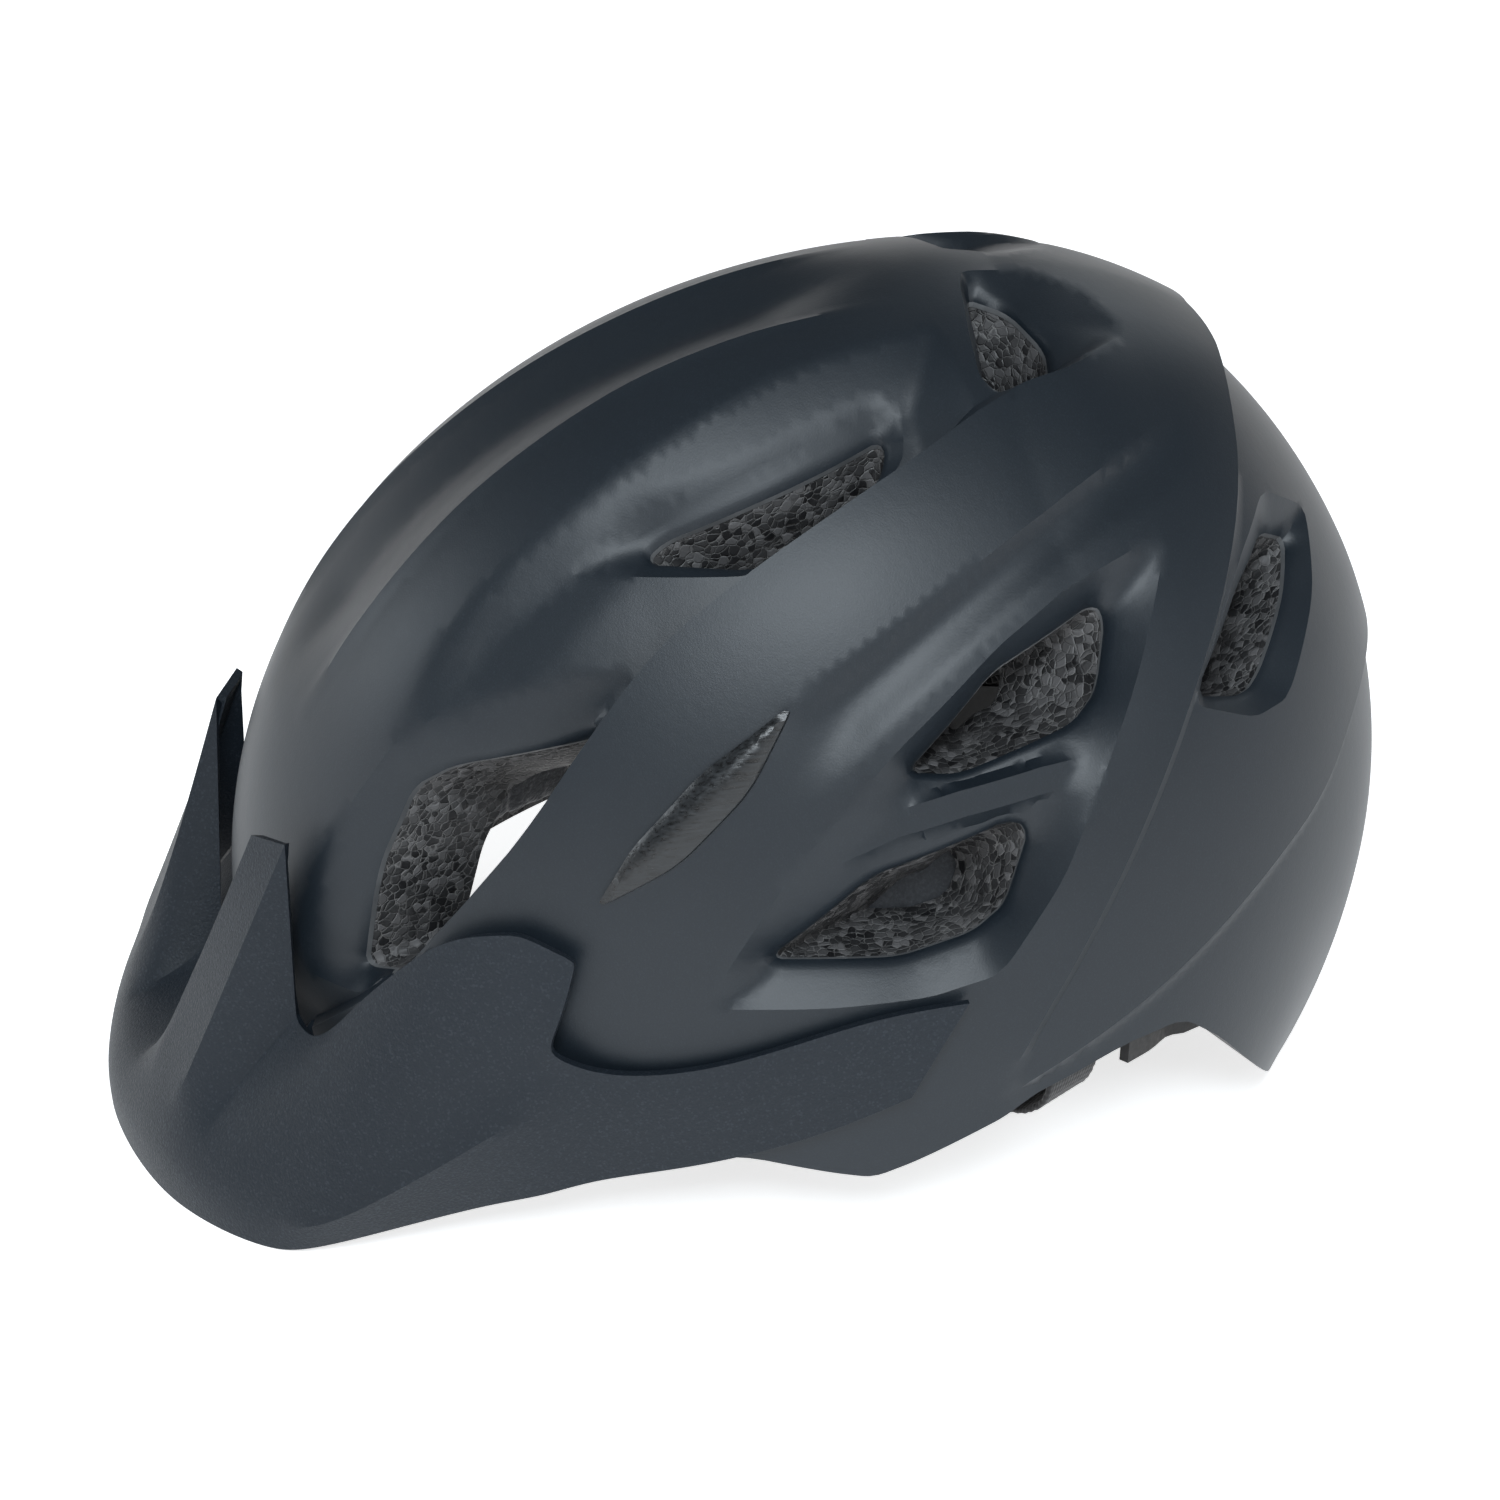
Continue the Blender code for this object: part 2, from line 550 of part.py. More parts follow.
def cavity_tangent(turn, z):
    """The level direction along the cavity wall."""
    run = cavity_point(turn + 2.0, z, 0.0) - cavity_point(turn - 2.0, z, 0.0)
    return run / np.linalg.norm(run)


# Fit system.


def make_headband():
    turns = np.linspace(-212, 32, 61)
    path = [cavity_point(t, 34.0 + 9.0 * math.cos(math.radians(t + 90)) ** 2, 4.6) for t in turns]
    make_object("headband", *ribbon(path, (0, 0, 1), 15.0, 1.3), "nylon")


def make_band_anchor(name, side):
    """The stud that holds the headband to the foam at a temple."""
    turn, height = -18.0, 37.0
    edge = cavity_tangent(turn, height)
    points, faces = stud(cavity_point(turn, height, 2.3), np.cross(edge, [0, 0, 1]), edge, 4.0, (-1.1, 1.3), 12)
    make_object(name, points * [side, 1, 1], faces, "nylon")


def make_tension_band(name, side):
    """A rack that runs through the dial housing and widens into the cradle's arm."""
    level = DIAL_AT[2] + side * RACK["off_axis"]
    straight = [(x, RACK["middle"], level) for x in (-14.0, 0.0, 14.0, 30.0, 40.0)]
    wide = [(48.0, RACK["middle"] - 1.8, DIAL_AT[2])]
    arm = [cavity_point(turn, DIAL_AT[2] + 0.10 * (44 - turn), 9.0) for turn in (42, 35, 28)]
    path = curve_through(straight + wide + arm, 34)
    widths = np.interp(path[:, 0], [40.0, 48.0], [RACK["height"], 14.0])
    points, faces = ribbon(path, (0, 0, 1), widths, RACK["thick"])
    make_object(name, np.array(points) * [side, 1, 1], faces, "nylon")


def make_dial():
    housing = HOUSING
    wall = housing["wall"]
    half, low, high = housing["half"], housing["low"], housing["high"]
    front, rear = housing["front"], housing["rear"]
    joint = rear - 4.6
    channel = [
        (front, low), (joint - GAP, low), (joint - GAP, low + wall), (front + wall, low + wall),
        (front + wall, high - wall), (joint - GAP, high - wall), (joint - GAP, high), (front, high),
    ]
    make_object("dial_housing_front", *prism(channel, -half, half, 0), "nylon")
    outer = [(-half, low), (half, low), (half, high), (-half, high)]
    hole = ring_of(PINION["shaft"] + 0.6, 16, (DIAL_AT[0], DIAL_AT[2]))
    sheet, faces = chart_sheet(divided(outer, 11.0, True), [hole], [], 9.0)
    (sheet,), faces = used_only([sheet], faces)
    outside = np.column_stack([sheet[:, 0], np.full(len(sheet), rear), sheet[:, 1]])
    inside_face = outside - [0, rear - joint, 0]
    make_object("dial_housing_rear", *thicken(outside, inside_face, faces), "nylon")

    teeth = []
    for i in range(2 * PINION["teeth"]):
        radius = PINION["radius"] if i % 2 == 0 else PINION["root"]
        for off in (-0.2, 0.2):
            turn = 2 * math.pi * (i + off) / (2 * PINION["teeth"])
            teeth.append((radius * math.cos(turn), DIAL_AT[2] + radius * math.sin(turn)))
    low_y = RACK["middle"] - RACK["thick"] / 2
    make_object("dial_pinion", *prism(teeth, low_y, joint - 0.1, 1), "dial", DIAL_AT)

    count = 4 * KNOB["ribs"]
    # The shaft and then the ribbed grip, as (depth behind the shaft's end, share of the knob's radius).
    shaft = [(0.0, PINION["shaft"]), (5.2, PINION["shaft"])]
    grip = [(5.2, 0.80), (6.4, 1.0), (11.8, 1.0), (13.4, 0.86), (13.6, 0.5)]
    start = joint + 0.2
    points, faces = [], []
    for depth, radius in shaft + [(depth, KNOB["radius"] * share) for depth, share in grip]:
        for i in range(count):
            turn = 2 * math.pi * i / count
            rib = 0.0 if radius == PINION["shaft"] else KNOB["rib"] * (0.5 + 0.5 * math.cos(KNOB["ribs"] * turn))
            reach = radius - rib
            points.append((reach * math.cos(turn), start + depth, DIAL_AT[2] + reach * math.sin(turn)))
    steps = len(shaft) + len(grip)
    for step in range(steps - 1):
        for i in range(count):
            n = (i + 1) % count
            faces.append([step * count + i, step * count + n, (step + 1) * count + n, (step + 1) * count + i])
    last = (steps - 1) * count
    faces += [list(range(count))[::-1], list(range(last, last + count))]
    make_object("dial_knob", points, faces, "dial", DIAL_AT)


def make_hanger():
    path = [(0, 64.6, HOUSING["high"] + 2 * GAP), (0, 69.0, 36.0)]
    path += [cavity_point(90, 50, 7.0), cavity_point(90, 66, 6.6), cavity_point(90, 84, 7.4)]
    make_object("cradle_hanger", *ribbon(curve_through(path, 16), (1, 0, 0), 16.0, 1.6), "nylon")
    wall = cavity_point(90, 72, 1.5)[1]
    outline = [
        (-12.5, wall - 1.2), (-12.5, wall - 10.5), (12.5, wall - 10.5), (12.5, wall - 1.2), (10.0, wall - 1.2),
        (10.0, wall - 9.0), (-10.0, wall - 9.0), (-10.0, wall - 1.2),
    ]
    make_object("hanger_guide", *prism(outline, 64.0, 72.0, 2), "nylon")


# Pads.


def pad(outline, thick, step=6.0, lift=1.2):
    """A foam pad on the cavity wall. An outline that touches the middle plane makes one pad across it."""
    chart, faces = chart_sheet(divided(outline, step, True), [], [], step)
    rays, chart, faces = both_sides(chart, faces)
    (rays,), faces = used_only([rays], faces)
    radius = cavity_radius(rays)
    return CENTRE + rays * (radius - lift)[:, None], CENTRE + rays * (radius - lift - thick)[:, None], faces


def make_pads():
    arc = [90.0 * np.array([math.cos(math.radians(t)), math.sin(math.radians(t))]) for t in range(48, 75, 3)]
    outer, inner, faces = pad([(53, 59.5), (36, 71), (24, 77)] + arc[::-1], 6.0)
    make_object("crown_pad", *thicken(outer, inner, faces), "pad")
    outline = [(31, 12), (21, 26), (3, 32), (-4, 28), (1, 14), (10, 10.5)]
    outer, inner, faces = pad(outline, 6.0)
    for name, keep in (("side_pad_left", 1), ("side_pad_right", -1)):
        chosen = np.array([face for face in faces if keep * outer[face[0], 0] > 0])
        (far, near), chosen = used_only([outer, inner], chosen)
        make_object(name, *thicken(far, near, chosen), "pad")
    path = [cavity_point(t, 43.0, 9.2) for t in np.linspace(-130, -50, 23)]
    make_object("brow_pad", *ribbon(path, (0, 0, 1), 22.0, 6.0), "pad")
    bevelled(bpy.data.objects["brow_pad"], 2.0)
    low = (-22.0, HOUSING["front"] - 5.0, 8.0)
    make_object("nape_pad", *slab(low, (22.0, HOUSING["front"] - GAP, 26.0)), "pad")
    bevelled(bpy.data.objects["nape_pad"], 1.8)


# Straps.


def make_strap_anchor(name, side, turn, z):
    path = [(cavity_point(turn, z, 3.2) + cavity_tangent(turn, z) * u) * [side, 1, 1] for u in (-9.0, 0.0, 9.0)]
    make_object(name, *ribbon(path, (0, 0, 1), 9.0, 2.0), "nylon")


def make_webbing(name, side, route, across):
    """A strap along a route on the left side; its width turns from the first direction to the last."""
    path = curve_through(route, 22)
    share = np.linspace(0, 1, len(path))[:, None]
    spread = np.asarray(across[0]) * (1 - share) + np.asarray(across[1]) * share
    points, faces = ribbon(path, spread, WEBBING["width"], WEBBING["thick"])
    make_object(name, np.array(points) * [side, 1, 1], faces, "webbing")


def make_straps(word, side):
    make_strap_anchor(f"strap_anchor_front_{word}", side, -34.0, 53.0)
    make_strap_anchor(f"strap_anchor_rear_{word}", side, 16.0, 52.0)
    front = [cavity_point(-34.0, 50.0, 7.4), cavity_point(-34.0, 30.0, 9.5), (59.0, -40.0, 11.0)]
    front += [(51.0, -30.0, 3.6), (46.0, -14.0, 2.4), (44.0, 1.0, 2.4)]
    make_webbing(f"strap_front_{word}", side, front, (cavity_tangent(-34.0, 40.0), (1.0, 0.0, 0.0)))
    rear = [cavity_point(16.0, 46.0, 7.4), cavity_point(16.0, 28.0, 8.5), (66.0, 23.0, 11.0)]
    rear += [(61.0, 19.5, 4.8), (57.0, 16.5, 3.2)]
    make_webbing(f"strap_rear_{word}", side, rear, (cavity_tangent(16.0, 40.0), (-0.6, 0.8, 0.0)))
    low, high = (35.5, 2.3, 1.2), (52.5, 18.7, 4.2)
    divider = bevelled(make_object(f"strap_divider_{word}", *slab(low, high), "buckle"), 0.8)
    if side < 0:
        divider.location.x = -(low[0] + high[0]) * MM


def make_chin_straps():
    """Both straps lie flat and end on top of the dividers that they run through."""
    z = BUCKLE_AT[2]
    over = 5.6  # height of the strap above its divider
    left = [(0, 31, z), (1, 36, z), (12, 43, z), (28, 38, z), (40, 24, over), (44, 8, over), (44, 3, over)]
    right = [(0, -29, z), (1, -34, z), (12, -40, z), (28, -32, z), (40, -10, over), (44, 8, over), (44, 14, over)]
    for name, side, route in (("chin_strap_left", 1, left), ("chin_strap_right", -1, right)):
        path = curve_through(route, 26)
        flat = np.cross(np.gradient(path, axis=0), [0, 0, 1])
        points, faces = ribbon(path, flat, WEBBING["width"], WEBBING["thick"])
        make_object(name, np.array(points) * [side, 1, 1], faces, "webbing")


def make_buckle():
    """Side-release buckle: the socket stays and the plug slides out towards -Y."""
    x, y, z = BUCKLE_AT
    half, deep = 11.0, 4.4
    outer = [(x - half, z - deep), (x + half, z - deep), (x + half, z + deep), (x - half, z + deep)]
    mouth = [(x - 9, z - 2.7), (x + 9, z - 2.7), (x + 9, z + 2.7), (x - 9, z + 2.7)]
    rings = [(y + 18, mouth), (y, mouth), (y, outer), (y + 28.4, outer)]
    points = [(a, depth, b) for depth, ring in rings for a, b in ring]
    faces = [[0, 1, 2, 3], [15, 14, 13, 12]]
    for first in (0, 4, 8):
        faces += [[first + k, first + 4 + k, first + 4 + (k + 1) % 4, first + (k + 1) % 4] for k in range(4)]
    make_object("buckle_socket", points, faces, "buckle")
    # Half of the plug: bar, outer prong, gap and half of the middle guide, as (across, towards the socket).
    side = [(2.4, 14), (2.4, 3), (5.4, 3), (5.4, 15), (8.4, 15), (8.4, -0.6), (11, -0.6), (9, -30)]
    plug = [(x + u, y + v) for u, v in side] + [(x - u, y + v) for u, v in reversed(side)]
    make_object("buckle_plug", *prism(plug, z - 2.2, z + 2.2, 2), "buckle", BUCKLE_AT)


def make_visor_dots():
    """A hook-and-loop dot under each of the visor's arms."""
    y, z = -36.0, 47.0
    at = over_dome(y, z, 0.0)
    out = over_dome(y, z, 1.0) - at
    edge = np.cross([0.0, 0.0, 1.0], out)
    edge /= np.linalg.norm(edge)
    points, faces = stud(at, out, edge, DOT["radius"], (0.25, 0.25 + DOT["thick"]))
    for name, side in (("visor_dot_left", 1), ("visor_dot_right", -1)):
        make_object(name, points * [side, 1, 1], faces, "pad")


clear_scene()
RIG = bpy.data.objects.new("helmet_rig", None)
bpy.context.scene.collection.objects.link(RIG)
RIG.location = (0.0, CENTRE_SHIFT * MM, 0.0)

make_outer_shell()
make_eps_liner()
make_visor()
make_visor_dots()
make_headband()
make_dial()
make_hanger()
make_pads()
make_buckle()
make_chin_straps()
for word, side in (("left", 1), ("right", -1)):
    make_side_insert(f"side_insert_{word}", side)
    make_band_anchor(f"band_anchor_{word}", side)
    make_tension_band(f"tension_band_{word}", side)
    make_straps(word, side)
bpy.context.view_layer.update()
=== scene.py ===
"""Looks for the trail cycling helmet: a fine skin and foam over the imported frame, trims, pads, webbing.

Lengths in the tables are millimetres in the design frame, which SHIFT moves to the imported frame.
The camera, the dome's size and many outlines come from fitting and projecting lines of the photograph
with other scripts. report.md says which tables hold numbers as those scripts printed them.
"""

import json
import math

import bmesh
import bpy
import numpy as np
from mathutils import Matrix, Vector
from mathutils.geometry import delaunay_2d_cdt


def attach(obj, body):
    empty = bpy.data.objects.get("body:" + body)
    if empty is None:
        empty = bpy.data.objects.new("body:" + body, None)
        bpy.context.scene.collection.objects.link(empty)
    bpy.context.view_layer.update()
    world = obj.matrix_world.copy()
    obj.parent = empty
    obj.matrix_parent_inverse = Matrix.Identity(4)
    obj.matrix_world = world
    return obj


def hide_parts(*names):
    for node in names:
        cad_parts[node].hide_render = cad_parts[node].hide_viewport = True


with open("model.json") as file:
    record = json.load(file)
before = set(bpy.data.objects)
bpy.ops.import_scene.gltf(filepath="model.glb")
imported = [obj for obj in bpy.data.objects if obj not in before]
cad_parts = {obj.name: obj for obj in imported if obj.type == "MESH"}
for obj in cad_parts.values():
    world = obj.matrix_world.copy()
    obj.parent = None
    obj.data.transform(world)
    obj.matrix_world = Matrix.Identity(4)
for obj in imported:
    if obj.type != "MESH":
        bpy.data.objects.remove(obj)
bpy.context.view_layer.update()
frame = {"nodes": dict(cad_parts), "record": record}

MM = 0.001
SHIFT = np.array([0.0, 36.0, 0.0])  # from the design frame to the row frame
CENTRE = np.array([0.0, 5.6, 45.7])
DOME = {"width": 106.3, "front": 157.5, "rear": 111.3, "up": 137.8, "down": 170.0}
CAVITY = {"width": 80.0, "front": 129.0, "rear": 86.0, "up": 106.0, "down": 150.0}
DOME_TUCK, CAVITY_TUCK = 0.12, 0.07
SKIN = 1.2
FOAM_GAP = 0.5
STEP = 1.1  # degrees between the fine sheet's points

# Outlines on the dome's chart: degrees forward and up from the left ear axis. BAND_TOP and RIDGE_HIGH
# are as a projection script printed them, the other creases and pockets partly so, the vents rounded.
RIM = [
    (70, -13), (50, -11.5), (33.5, -10.5), (24, -13.2), (19.5, -14.2), (14.5, -12.2), (2, -6), (-10, -1),
    (-18, 0), (-24.5, -5.5), (-34, -16.5), (-43, -26.5), (-49, -30.5), (-60, -32), (-67, -30.5), (-71.5, -25),
    (-76, -16.5), (-82, -12.5),
]
FRONT_VENT = [(71.5, 4), (66, 5.5), (56.5, 20.5), (45.5, 37.5), (61, 30.5), (65, 27), (68.5, 18)]
UPPER_VENT = [(41, 55), (39, 57.5), (11, 69.8), (11.6, 66.6), (16, 62.4), (22.5, 58.6), (29, 55.8)]
CROWN_VENT = [(-5.5, 86), (-10.5, 83), (-13, 77), (-11.5, 72.5), (-3.5, 70.5), (-2.5, 72)]
EAR_VENT_HIGH = [(14.5, 34.5), (3, 44.5), (-10.5, 50), (-12, 48.5), (-9.5, 41), (-6, 38), (8.5, 34)]
EAR_VENT_LOW = [(31.5, 13), (19.5, 23), (2.5, 28.5), (0.5, 27), (4, 18.5), (8, 15.5), (17, 13)]
REAR_VENT = [(-22, 38), (-31.5, 48), (-39.5, 53.5), (-46, 52), (-41.5, 46), (-33, 38), (-30, 36.5)]
VENTS = [FRONT_VENT, UPPER_VENT, CROWN_VENT, EAR_VENT_HIGH, EAR_VENT_LOW, REAR_VENT]
VENT_TAPER = [0.06, 0.42, 0.45, 0.60, 0.55, 0.50]
VENT_LEAN = [(0, 1), (0, 0), (0, 0), (3.5, 4), (0, 0), (0, 0)]  # how far the inner opening's middle is moved
TAPER_REACH = 9.0
VENT_RIM = [-5.0, -7.2, -5.5, -7.5, -7.5, -5.0]  # height of the skin's edge in each vent

GROOVE_LOW = [
    (77, 31), (75.4, 33.8), (70.5, 42.7), (64, 52.2), (57.4, 59.9), (48.2, 67.8), (38.5, 74.2), (25.8, 79.3),
    (13, 82), (4, 82.8),
]
BAND_TOP = [
    (64, 36), (60.3, 42.7), (54, 50.9), (47.5, 56.9), (40.8, 62.7), (31.5, 69.1), (19.1, 75.5), (1.9, 78.7),
]
FACET_TIP = [(1.9, 78.7), (1.2, 73.5), (0.2, 67.9)]
MAIN_CREASE = [
    (74, -4), (66.5, 4.2), (60.5, 12.8), (52.5, 24.2), (45, 36.2), (38, 45.1), (31.5, 50.4), (25.3, 54.7),
    (16.5, 59.8), (8.1, 64), (-2.6, 69.3), (-20, 74),
]
EAR_POCKET = [
    (-19.3, 54.2), (-13, 41.2), (-6.8, 30.3), (-2.2, 21.6), (5.5, 11.3), (13.5, 9.2), (24.1, 8.4),
    (36.6, 8.2), (33.5, 14), (29.7, 20), (24.9, 26.5), (15.5, 36), (3.1, 45.6), (-6.2, 50.6),
]
EAR_RIB = [(27, 24.2), (16.5, 28.7), (8.5, 30.6), (-1, 32.2), (-8, 32.8)]
FRONT_POCKET = [
    (69.6, 1.8), (62.5, 13.6), (55, 24.7), (46, 38.2), (41.5, 43.5), (48.5, 42.2), (57.5, 37.8), (64.5, 31.8),
    (69.8, 23.2), (73, 15.2), (75.6, 7.0), (75.4, 2),
]
UPPER_POCKET = [
    (48.5, 52.0), (41.8, 60.0), (31.5, 63.9), (19.8, 69.4), (11.5, 72.4), (8.2, 70.6), (9.4, 66.2), (16, 61),
    (22.5, 57.4), (29, 54.4), (40, 53.0),
]
CROWN_POCKET = [
    (-5.2, 87), (-3.6, 84), (-2, 77.5), (-1.4, 72), (-3.4, 69.9), (-13, 71.2), (-23, 75), (-21, 82),
    (-14, 87),
]
REAR_POCKET = [(-19.5, 37), (-30, 50), (-38.5, 57), (-49, 54), (-44, 44.5), (-35, 34.5), (-29, 33.7)]
SIDE_INSERT = [(46, 18.5), (42, 25.5), (35, 33.5), (25, 41), (30.5, 32), (38, 24)]
REAR_EDGE = [
    (-41, 90), (-41, 77), (-35, 67), (-31.5, 57.5), (-25.5, 47), (-19.5, 38), (-12, 26), (-5, 15),
    (3, 2), (7, -8),
]
BRAND_LOW = [
    (2, -3), (-6.2, 1.6), (-17.8, 8.3), (-31.6, 16.4), (-41.8, 21.5), (-50, 28.5), (-60, 34), (-80, 40),
]
RIDGE_HIGH = [(24.9, 41), (13.1, 48.6), (0.8, 55.2), (-13, 61.2), (-27.2, 65.6)]
RIDGE_LOW = [(27, 28.5), (19.8, 34.8), (14.4, 39.6), (2.3, 48.2), (-10.7, 54.3), (-25, 59)]


# Camera: where the photograph was taken from, with its picture shifted off the lens axis.

CAMERA_AT = (0.7725, -0.1694, 0.4878)
CAMERA_FORWARD = (-0.8461, 0.2250, -0.4832)
CAMERA_RIGHT = (0.2579, 0.9662, -0.0017)
LENS, SENSOR = 94.37, 36.0
LENS_SHIFT = (-0.0947, 0.0462)


def new_object(name, data):
    obj = bpy.data.objects.new(name, data)
    bpy.context.scene.collection.objects.link(obj)
    return obj


def make_camera():
    data = bpy.data.cameras.new("camera")
    camera = new_object("camera", data)
    forward = Vector(CAMERA_FORWARD).normalized()
    right = Vector(CAMERA_RIGHT)
    right = (right - forward * right.dot(forward)).normalized()
    up = right.cross(forward)
    camera.matrix_world = Matrix((
        (right.x, up.x, -forward.x, CAMERA_AT[0]),
        (right.y, up.y, -forward.y, CAMERA_AT[1]),
        (right.z, up.z, -forward.z, CAMERA_AT[2]),
        (0, 0, 0, 1),
    ))
    data.lens, data.sensor_width = LENS, SENSOR
    data.shift_x, data.shift_y = LENS_SHIFT
    data.clip_start = 0.01
    bpy.context.scene.camera = camera


make_camera()


# Chart and dome.


def directions(chart):
    chart = np.atleast_2d(np.asarray(chart, float))
    away = np.radians(np.hypot(chart[:, 0], chart[:, 1]))
    turn = np.arctan2(chart[:, 1], chart[:, 0])
    return np.column_stack([np.cos(away), -np.sin(away) * np.cos(turn), np.sin(away) * np.sin(turn)])


def ellipsoid(rays, size):
    length = np.where(rays[:, 1] < 0, size["front"], size["rear"])
    height = np.where(rays[:, 2] > 0, size["up"], size["down"])
    halves = np.column_stack([np.full(len(rays), size["width"]), length, height])
    return 1.0 / np.linalg.norm(rays / halves, axis=1)


def smooth(value):
    value = np.clip(value, 0.0, 1.0)
    return value * value * (3.0 - 2.0 * value)


def nape_share(rays):
    off_rear = np.degrees(np.arctan2(np.abs(rays[:, 0]), rays[:, 1]))
    rise = np.degrees(np.arcsin(np.clip(rays[:, 2], -1, 1)))
    return smooth((80.0 - off_rear) / 45.0) * np.clip((35.0 - rise) / 60.0, 0.0, 1.2) ** 1.6


def dome_radius(rays):
    return ellipsoid(rays, DOME) * (1.0 - DOME_TUCK * nape_share(rays))


def cavity_radius(rays):
    return ellipsoid(rays, CAVITY) * (1.0 - CAVITY_TUCK * nape_share(rays))


def piece_distance(points, start, end):
    run = end - start
    along = np.clip(((points - start) @ run) / (run @ run), 0.0, 1.0)
    return np.linalg.norm(points - start - along[:, None] * run, axis=1)


def distance_to(points, path, closed):
    path = np.asarray(path, float)
    ends = np.roll(path, -1, axis=0) if closed else path[1:]
    starts = path if closed else path[:-1]
    best = np.full(len(points), np.inf)
    for start, end in zip(starts, ends):
        best = np.minimum(best, piece_distance(points, start, end))
    return best


def side_of(points, path):
    """Distance to an open path, above 0 on its left when walking along it and below 0 on its right."""
    path = np.asarray(path, float)
    best = np.full(len(points), np.inf)
    sign = np.ones(len(points))
    for start, end in zip(path[:-1], path[1:]):
        run = end - start
        reach = piece_distance(points, start, end)
        turn = np.sign(run[0] * (points[:, 1] - start[1]) - run[1] * (points[:, 0] - start[0]))
        nearer = reach < best - 1e-9
        best = np.where(nearer, reach, best)
        sign = np.where(nearer, turn, sign)
    return best * np.where(sign == 0, 1.0, sign)


def inside(points, loop):
    loop = np.asarray(loop, float)
    found = np.zeros(len(points), bool)
    for (x0, y0), (x1, y1) in zip(loop, np.roll(loop, -1, axis=0)):
        crosses = (y0 > points[:, 1]) != (y1 > points[:, 1])
        with np.errstate(divide="ignore", invalid="ignore"):
            at = x0 + (points[:, 1] - y0) * (x1 - x0) / (y1 - y0)
        found ^= crosses & (points[:, 0] < at)
    return found


def divided(path, step, closed):
    path = [np.asarray(point, float) for point in path]
    ends = path[1:] + path[:1] if closed else path[1:]
    out = []
    for start, end in zip(path, ends):
        count = max(1, math.ceil(np.linalg.norm(end - start) / step))
        out += [start + (end - start) * i / count for i in range(count)]
    return out if closed else out + [path[-1]]


def chaikin(loop, closed, rounds=2, share=0.25):
    """Corner cutting: each round replaces a corner by two points."""
    loop = [np.asarray(point, float) for point in loop]
    for _ in range(rounds):
        out = []
        ends = loop[1:] + loop[:1] if closed else loop[1:]
        for start, end in zip(loop, ends):
            out += [start + share * (end - start), end - share * (end - start)]
        loop = out if closed else [loop[0]] + out + [loop[-1]]
    return loop


def softened(loop):
    """A vent's outline with small round corners."""
    return chaikin(divided(loop, 4.5, True), True, 2, 0.3)


def shrunk(loop, by):
    """The loop moved towards its outside by a distance in degrees."""
    loop = np.asarray(loop, float)
    run = np.roll(loop, -1, axis=0) - np.roll(loop, 1, axis=0)
    normal = np.column_stack([run[:, 1], -run[:, 0]]) / np.linalg.norm(run, axis=1)[:, None]
    after = np.roll(loop, -1, axis=0)
    turn = np.sum(loop[:, 0] * after[:, 1] - after[:, 0] * loop[:, 1])
    return loop + normal * by * np.sign(turn)


SOFT_VENTS = [softened(vent) for vent in VENTS]
GROOVE_LOW, BAND_TOP, MAIN_CREASE, REAR_EDGE, BRAND_LOW, RIDGE_HIGH, RIDGE_LOW = (
    divided(chaikin(path, False, 2), STEP, False)
    for path in (GROOVE_LOW, BAND_TOP, MAIN_CREASE, REAR_EDGE, BRAND_LOW, RIDGE_HIGH, RIDGE_LOW)
)
EAR_RIB = divided(EAR_RIB, STEP, False)
FACET_TOP = BAND_TOP[:-1] + divided(FACET_TIP, STEP, False)
FRONT_POCKET, UPPER_POCKET, CROWN_POCKET, EAR_POCKET, REAR_POCKET, SIDE_INSERT = (
    divided(chaikin(loop, True, 2, 0.12), STEP, True)
    for loop in (FRONT_POCKET, UPPER_POCKET, CROWN_POCKET, EAR_POCKET, REAR_POCKET, SIDE_INSERT)
)
POCKETS = [  # vent, how deep the pocket's floor is at the vent's edge, outline
    (SOFT_VENTS[0], 4.6, FRONT_POCKET), (SOFT_VENTS[1], 3.0, UPPER_POCKET),
    (SOFT_VENTS[2], 4.5, CROWN_POCKET), (SOFT_VENTS[5], 4.2, REAR_POCKET),
]
RIM_TOP = 52.0  # every vent lies above this height and the lower rim below it
LIP = 1.0  # degrees over which the skin rolls into a vent
WALL = 1.0  # degrees across a crease's steep side

# Heights of the relief in millimetres.
GROOVE_DEPTH, GROOVE_LIP = 5.2, 0.5
BAND_DROP = ([2, 19, 40, 50, 60, 66], [5.0, 5.4, 5.2, 4.4, 3.0, 1.6])  # by degrees ahead
PANEL_RISE, CREASE_DEPTH = 1.7, 2.4
VALLEY_DEPTH = 2.0
EDGE_RISE, EDGE_RISE_HIGH = 1.4, 4.6
BRAND_DEPTH = 2.0
EAR_DEPTH, RIB_DEPTH = 6.4, 2.6
INSERT_DEPTH = 3.0
# Distances in degrees.
LIP_REACH = 0.8
PANEL_REACH, CREASE_REACH = 16.0, 7.0
RIB_HALF, RIB_FLANK = 1.4, 1.2
FLANK_FLOOR = 0.2236  # keeps the channel's slope 0 on the middle plane


def beside(path, by):
    """An open path moved to its left by a distance in degrees."""
    path = np.asarray(path, float)
    run = np.gradient(path, axis=0)
    left = np.column_stack([-run[:, 1], run[:, 0]]) / np.linalg.norm(run, axis=1)[:, None]
    return list(path + np.broadcast_to(by, len(path))[:, None] * left)


def band_width(ahead):
    """Width of the band in degrees."""
    return np.interp(ahead, [2, 19, 31, 40, 47, 64], [7.0, 6.2, 5.2, 4.3, 3.6, 2.8])


